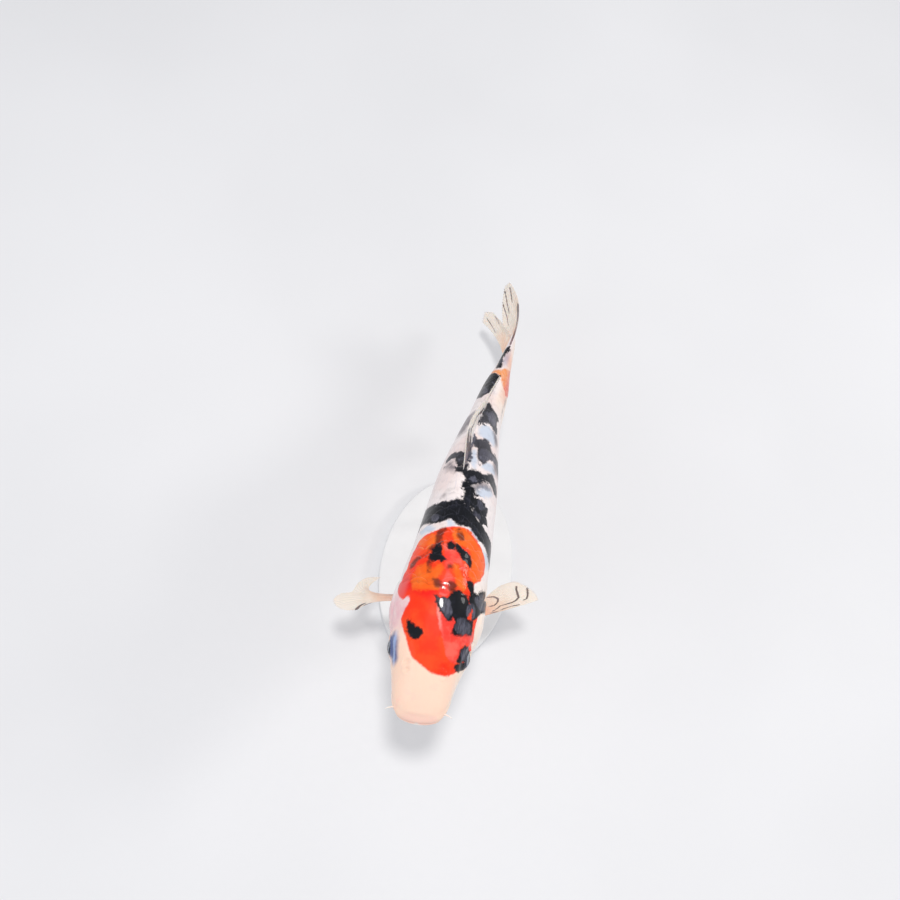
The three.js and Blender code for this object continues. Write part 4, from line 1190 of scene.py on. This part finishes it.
def fin_material(name, root_colour, body_colour, edge_colour):
    g = Graph(name)
    reach, ray, ink = g.field("reach"), g.field("ray"), g.field("ink")
    blotch = g.noise(90, 3, 0.55)
    colour = g.mix(g.step(reach, 0.0, 0.45), root_colour, body_colour)
    colour = g.mix(g.step(g.add(reach, g.around(blotch, 0.5)), 0.25, 0.75), colour, edge_colour)
    colour = g.mix(g.times(ray, 0.25), colour, body_colour)
    # Dark streaks: pigment, except the back fin's line along its root, which is painted shade.
    dark = g.step(g.add(ink, g.around(g.noise(380, 3, 0.6), 0.2)), 0.3, 0.8)
    dark_tone = g.mix(g.step(blotch, 0.4, 0.6), FIN_INK_AND_SHADE, FIN_LILAC)
    colour = g.mix(g.times(dark, 0.9), colour, dark_tone)
    see = g.add(g.step(reach, 0.0, 0.9, 0.94, 0.58), g.times(ray, 0.25))
    see = g.math("MINIMUM", g.add(see, g.times(dark, 0.35)), 1.0)
    joints = g.math("SINE", g.times(reach, 150.0))
    relief = g.add(g.times(g.times(joints, ray), 0.3), g.noise(900, 3, 0.6))
    return g.surface(
        colour, g.step(g.noise(400, 2), 0.2, 0.8, 0.3, 0.5), g.bump(relief, 0.2, 0.2 * MM),
        coat=(0.3, 0.1), flesh=(0.3, (0.003, 0.002, 0.0015), 0.6), extra={"Alpha": see, "IOR": 1.4})


# ---- eyes and feelers ----

EYE_RINGS = 72
EYE_SIDES = 96
CORNEA_TURN = 1.25


def dome(centre, axis, radius, rings, sides, turn=math.pi, profile=None):
    """Points of a ball whose pole lies along the axis, with the share of a half turn from the pole."""
    along = unit(np.array(axis, float))
    across = unit(np.cross(along, (0, 0, 1)))
    over = np.cross(across, along)
    polar = turn * np.arange(1, rings + 1) / rings
    around = 2 * math.pi * np.arange(sides) / sides
    polar, around = [a.ravel() for a in np.meshgrid(polar, around, indexing="ij")]
    length = radius * (profile(polar) if profile else np.ones_like(polar))
    offset = (np.cos(polar)[:, None] * along + np.sin(polar)[:, None] * (
        np.cos(around)[:, None] * across + np.sin(around)[:, None] * over))
    points = centre + length[:, None] * offset
    pole = centre + along * radius * (profile(np.zeros(1))[0] if profile else 1)
    return np.concatenate([points, [pole]]), np.append(polar, 0.0), np.append(around, 0.0)


def make_eye(side, hand, ball_material, cornea_material):
    node = f"eye_{side}"
    low, high = [np.array(corner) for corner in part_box(node)]
    centre = (low + high) / 2
    axis = place(EYE_STATION, hand * 1.0, 0.12) - place(EYE_STATION, 0.0, 0.0)

    def iris_profile(polar):
        # The iris is a flat ring with a raised inner border, sunk under the cornea.
        rim = bell(polar - 0.25, 0.04) * 0.01
        return 0.975 - 0.035 * (1 - smooth_step(0.22, 0.62, polar)) + rim - 0.008 * (polar < 0.22)

    for name, profile, material, replaced in (
        (f"{node}_ball", iris_profile, ball_material, [node]),
        (f"{node}_cornea", None, cornea_material, []),
    ):
        turn = math.pi if replaced else CORNEA_TURN
        points, polar, around = dome(centre, axis, EYE_RADIUS, EYE_RINGS, EYE_SIDES, turn, profile)
        quads = grid_quads(EYE_RINGS, EYE_SIDES, closed=True)
        cap = fan(len(points) - 1, np.arange(EYE_SIDES))
        fields = {"polar": polar, "around": around}
        piece = make_piece(name, points, quads, cap, fields, None, material)
        belongs(piece, "eye", *replaced)


def eye_material():
    g = Graph("koi_eye")
    polar = g.field("polar")
    grain = g.noise(1800, 4, 0.65)
    fibres = g.noise(900, 3, 0.6, g.drawn_out(3))
    silver = g.mix(g.step(grain, 0.35, 0.7), paint(150, 166, 190), paint(232, 236, 240))
    silver = g.mix(g.times(g.step(fibres, 0.5, 0.7), 0.5), silver, paint(196, 176, 140))
    colour = g.mix(g.bell(polar, 0.28, 0.04), silver, paint(250, 240, 214))
    # The pupil, and the dark ring round the iris.
    colour = g.mix(g.step(g.add(polar, g.around(grain, 0.02)), 0.25, 0.23), colour, paint(6, 6, 9))
    outer = g.step(g.add(polar, g.around(grain, 0.1)), 0.50, 0.58)
    colour = g.mix(outer, colour, paint(60, 66, 84))
    return g.surface(
        colour, g.step(grain, 0.2, 0.8, 0.25, 0.45), g.bump(grain, 0.2, 0.1 * MM), coat=(0.6, 0.05))


def cornea_material():
    g = Graph("koi_cornea")
    clear = g.node("ShaderNodeBsdfTransparent", {"Color": (0.97, 0.98, 1.0, 1.0)})
    ripple = g.bump(g.noise(300, 2), 0.03, 0.1 * MM)
    gloss_inputs = {"Color": (1, 1, 1, 1), "Roughness": 0.02, "Normal": ripple}
    gloss = g.node("ShaderNodeBsdfGlossy", gloss_inputs)
    share = g.node("ShaderNodeFresnel", {"IOR": 1.38})
    return g.output(g.node("ShaderNodeMixShader", {0: share, 1: clear, 2: gloss}))


# Each feeler: its root, where it bends towards, its tip, and its radii in mm at root and tip.
FEELERS = {
    "upper": [(1.7, 4.4, 0.7), (1.5, 6.2, 0.6), (1.1, 7.0, 0.1), (0.6, 0.22)],
    "corner": [(5.4, 5.0, -2.6), (6.2, 6.6, -5.4), (9.4, 5.4, -8.8), (0.8, 0.35)],
}
FEELER_RINGS = 60
FEELER_SIDES = 20


def make_feeler(name, spec, hand, material):
    *line, (root_radius, tip_radius) = spec
    a, b, c = [place(station, hand * side, height) for station, side, height in line]
    t = np.linspace(-0.12, 1, FEELER_RINGS)[:, None]
    middle = a * (1 - t) ** 2 + 2 * b * t * (1 - t) + c * t ** 2
    along = unit(2 * (b - a) * (1 - t) + 2 * (c - b) * t)
    across = unit(np.cross(np.array([0, 0, 1.0]), along))
    over = np.cross(along, across)
    share = np.clip(t, 0, 1)
    radius = (root_radius + (tip_radius - root_radius) * share) * MM
    tip = np.sqrt(np.clip(1 - ((share - 0.94) / 0.06).clip(0, 1) ** 2, 0, 1))
    wrinkle = 1 + 0.03 * np.sin(share * 90)
    radius = radius * np.maximum(tip, 0.05) * wrinkle * 0.98
    turn = (2 * math.pi * np.arange(FEELER_SIDES) / FEELER_SIDES)[None, :, None]
    round_it = np.cos(turn) * across[:, None] + np.sin(turn) * over[:, None]
    points = (middle[:, None] + radius[:, None] * round_it).reshape(-1, 3)
    points = np.concatenate([points, [middle[0], middle[-1]]])
    quads = grid_quads(FEELER_RINGS, FEELER_SIDES, closed=True)
    fans = end_fans(points, FEELER_RINGS, FEELER_SIDES)
    reach = np.append(np.repeat(share.ravel(), FEELER_SIDES), [0, 1])
    belongs(make_piece(name, points, quads, fans, {"reach": reach}, None, material), "feeler", name)


def feeler_material():
    g = Graph("koi_feeler")
    grain = g.noise(900, 3, 0.6)
    colour = g.mix(g.step(g.field("reach"), 0.1, 1.0), paint(250, 222, 206), paint(248, 236, 228))
    colour = g.mix(g.times(g.step(grain, 0.5, 0.8), 0.4), colour, paint(236, 190, 176))
    return g.surface(
        colour, g.step(grain, 0.2, 0.8, 0.3, 0.45), g.bump(grain, 0.2, 0.2 * MM), coat=(0.5, 0.08),
        flesh=(0.15, (0.003, 0.0015, 0.001), 0.5))


# ---- the stand ----

BASE_BEVEL = 1.0 * MM
BASE_BEVEL_STEPS = 6
BASE_SIDES = 256
ROD_SIDES = 64


def rings(centre, profile, sides):
    """Points of level ellipses round an upright line, each (half width, half depth, height)."""
    around = 2 * math.pi * np.arange(sides) / sides
    return np.concatenate([
        np.column_stack([centre.x + wide * np.cos(around), centre.y + deep * np.sin(around),
                         np.full(sides, height)]) for wide, deep, height in profile])


def make_base(material):
    low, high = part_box("stand_base")
    centre = (low + high) / 2
    half = (high - low) / 2
    turn = np.linspace(0, math.pi / 2, BASE_BEVEL_STEPS + 1)
    # Insets and heights from the underside's bevel, up the wall, over the top's bevel and inwards.
    insets = [*(BASE_BEVEL * (1 - np.sin(turn))), *(BASE_BEVEL * (1 - np.cos(turn))),
              *(np.linspace(2.5, 34, 8) * MM)]
    heights = [*(low.z + BASE_BEVEL * (1 - np.cos(turn))), *(high.z - BASE_BEVEL * (1 - np.sin(turn))),
               *np.full(8, high.z)]
    profile = [(half.x - inset, half.y - inset, height) for inset, height in zip(insets, heights)]
    hubs = [[centre.x, centre.y, low.z], [centre.x, centre.y, high.z]]
    points = np.concatenate([rings(centre, profile, BASE_SIDES), hubs])
    quads = grid_quads(len(profile), BASE_SIDES, closed=True)
    fans = end_fans(points, len(profile), BASE_SIDES)
    piece = make_piece("stand_base_oval", points, quads, fans, None, None, material)
    belongs(piece, "stand_paint", "stand_base")


def make_turned(node, profile, material):
    """A closed profile of (radius, height), turned about the node's own upright middle."""
    low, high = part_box(node)
    rows = len(profile)
    points = rings((low + high) / 2, [(radius, radius, height) for radius, height in profile], ROD_SIDES)
    quads = grid_quads(rows, ROD_SIDES, closed=True)
    wrap = grid_quads(2, ROD_SIDES, closed=True)
    wrap = np.where(wrap < ROD_SIDES, wrap + (rows - 1) * ROD_SIDES, wrap - ROD_SIDES)
    piece = make_piece(f"{node}_fine", points, np.concatenate([quads, wrap]), (), None, None, material)
    belongs(piece, "stand_steel", node)


def make_stand(paint_material, steel_material):
    make_base(paint_material)
    for end in ("front", "rear"):
        low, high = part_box(f"stand_rod_{end}")
        radius = (high.x - low.x) / 2
        top = high.z + 0.4 * MM
        tiny = 0.01 * MM
        rod = [(tiny, low.z), (radius - 0.3 * MM, low.z), (radius, low.z + 0.3 * MM),
               *[(radius, low.z + (top - low.z) * t) for t in np.linspace(0.02, 0.98, 40)],
               (radius, top), (tiny, top)]
        make_turned(f"stand_rod_{end}", rod, steel_material)
        low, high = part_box(f"stand_collar_{end}")
        outer = (high.x - low.x) / 2
        inner = radius + 0.3 * MM
        bevel = 1.0 * MM
        arc = np.linspace(0, math.pi / 2, 6)
        collar = [(inner, low.z), (outer - 0.2 * MM, low.z), (outer, low.z + 0.2 * MM),
                  *[(outer - bevel * (1 - math.cos(a)), high.z - bevel * (1 - math.sin(a))) for a in arc],
                  (inner + 0.2 * MM, high.z), (inner, high.z - 0.2 * MM)]
        make_turned(f"stand_collar_{end}", collar, steel_material)


def stand_paint_material():
    g = Graph("stand_paint")
    speckle, broad = g.noise(2600, 2, 0.5), g.noise(30, 3, 0.5)
    colour = g.mix(g.step(broad, 0.3, 0.7), paint(222, 222, 223), paint(230, 230, 231))
    colour = g.mix(g.times(g.step(speckle, 0.6, 0.8), 0.15), colour, paint(196, 196, 197))
    return g.surface(colour, g.step(speckle, 0.2, 0.8, 0.42, 0.6), g.bump(speckle, 0.15, 0.1 * MM))


def steel_material():
    g = Graph("stand_steel")
    lines = g.noise(900, 3, 0.6, g.drawn_out(60))
    colour = g.mix(g.step(lines, 0.3, 0.7), paint(168, 170, 173), paint(198, 200, 203))
    return g.surface(colour, g.step(lines, 0.2, 0.8, 0.22, 0.38), g.bump(lines, 0.1, 0.05 * MM),
                     extra={"Metallic": 1.0})


# ---- floor, light and camera ----

FLOOR_SIZE = 6.0


def make_floor():
    g = Graph("studio_floor")
    grain = g.noise(220, 3, 0.6)
    colour = g.mix(g.step(g.noise(3, 3, 0.5), 0.3, 0.7), paint(224, 224, 226), paint(230, 230, 232))
    material = g.surface(colour, g.step(grain, 0.2, 0.8, 0.55, 0.7), g.bump(grain, 0.05, 0.2 * MM))
    half = FLOOR_SIZE / 2
    corners = [(-half, -half, 0), (half, -half, 0), (half, half, 0), (-half, half, 0)]
    floor = make_piece("studio_floor", corners, [(0, 1, 2, 3)], (), None, None, material)


WORLD_COLOUR = (0.96, 0.97, 1.0, 1.0)
WORLD_STRENGTH = 0.68
# Each lamp is a soft disc: (place, size, power, colour).
LAMPS = {
    "lamp_key": ((-0.02, 0.02, 1.35), 0.16, 6.0, (1.0, 0.985, 0.96)),
    "lamp_side": ((0.95, 0.35, 0.75), 0.3, 2.6, (1.0, 0.98, 0.95)),
    "lamp_fill": ((-0.8, -0.7, 0.9), 0.8, 1.6, (0.95, 0.97, 1.0)),
}


def make_light():
    world = bpy.data.worlds.new("studio")
    bpy.context.scene.world = world
    world.use_nodes = True
    background = world.node_tree.nodes["Background"]
    background.inputs["Color"].default_value = WORLD_COLOUR
    background.inputs["Strength"].default_value = WORLD_STRENGTH
    for name, (place_at, size, power, colour) in LAMPS.items():
        data = bpy.data.lights.new(name, "AREA")
        data.shape, data.size, data.energy, data.color = "DISK", size, power, colour
        lamp = bpy.data.objects.new(name, data)
        lamp.location = place_at
        direction = Vector((0, 0.02, CENTRE_HEIGHT)) - Vector(place_at)
        lamp.rotation_euler = direction.to_track_quat("-Z", "Y").to_euler()
        bpy.context.scene.collection.objects.link(lamp)
    bpy.context.scene.view_settings.view_transform = "Standard"


CAMERA_AIM = (-13.9 * MM, 50.67 * MM, 86 * MM)
CAMERA_DISTANCE = 567.1 * MM
CAMERA_ELEVATION = math.radians(69.45)
CAMERA_TURN = math.radians(-0.2)
CAMERA_ROLL = math.radians(12.48)
CAMERA_LENS = 39.0
CAMERA_SENSOR = 36.0


def make_camera():
    data = bpy.data.cameras.new("camera")
    data.lens = CAMERA_LENS
    data.sensor_width = CAMERA_SENSOR
    data.clip_start = 0.01
    camera = bpy.data.objects.new("camera", data)
    looking = Euler((math.pi / 2 - CAMERA_ELEVATION, 0, CAMERA_TURN)).to_matrix()
    back = looking @ Vector((0, 0, CAMERA_DISTANCE))
    camera.location = Vector(CAMERA_AIM) + back
    camera.rotation_euler = (looking @ Euler((0, 0, CAMERA_ROLL)).to_matrix()).to_euler()
    bpy.context.scene.collection.objects.link(camera)
    bpy.context.scene.camera = camera


# ---- the whole model ----

make_camera()
make_light()
make_floor()

make_skin(skin_material())
scales = scale_material()
for part, hand in (("left", 1), ("right", -1), ("ridge", 0)):
    make_scales(f"scales_{part}", hand, scales)

fin_look = fin_material("koi_fin", FIN_FLESH, FIN_PEACH, FIN_CREAM)
back_fin_look = fin_material("koi_back_fin", FIN_WHITE, FIN_WHITE, FIN_CREAM)
make_fin("dorsal_fin_rays", DORSAL, back_fin_look, ["dorsal_fin"], ink=streaks("dorsal"), depth=0.9)
make_fin("anal_fin_rays", ANAL, fin_look, ["anal_fin"])
for lobe, caudal in (("upper", CAUDAL_UPPER), ("lower", CAUDAL_LOWER)):
    make_fin(f"caudal_{lobe}_rays", caudal, fin_look, [f"caudal_fin_{lobe}"],
             ink=streaks(f"caudal_{lobe}"))
feeler_look, ball_look, cornea_look = feeler_material(), eye_material(), cornea_material()
for side, hand, pectoral in (("left", 1, PECTORAL_LEFT), ("right", -1, PECTORAL_RIGHT)):
    make_fin(f"pectoral_{side}_rays", pectoral, fin_look, [f"pectoral_fin_{side}"], hand,
             streaks(f"pectoral_{side}"))
    make_fin(f"pelvic_{side}_rays", PELVIC, fin_look, [f"pelvic_fin_{side}"], hand)
    make_eye(side, hand, ball_look, cornea_look)
    for kind, spec in FEELERS.items():
        make_feeler(f"feeler_{kind}_{side}", spec, hand, feeler_look)
make_stand(stand_paint_material(), steel_material())
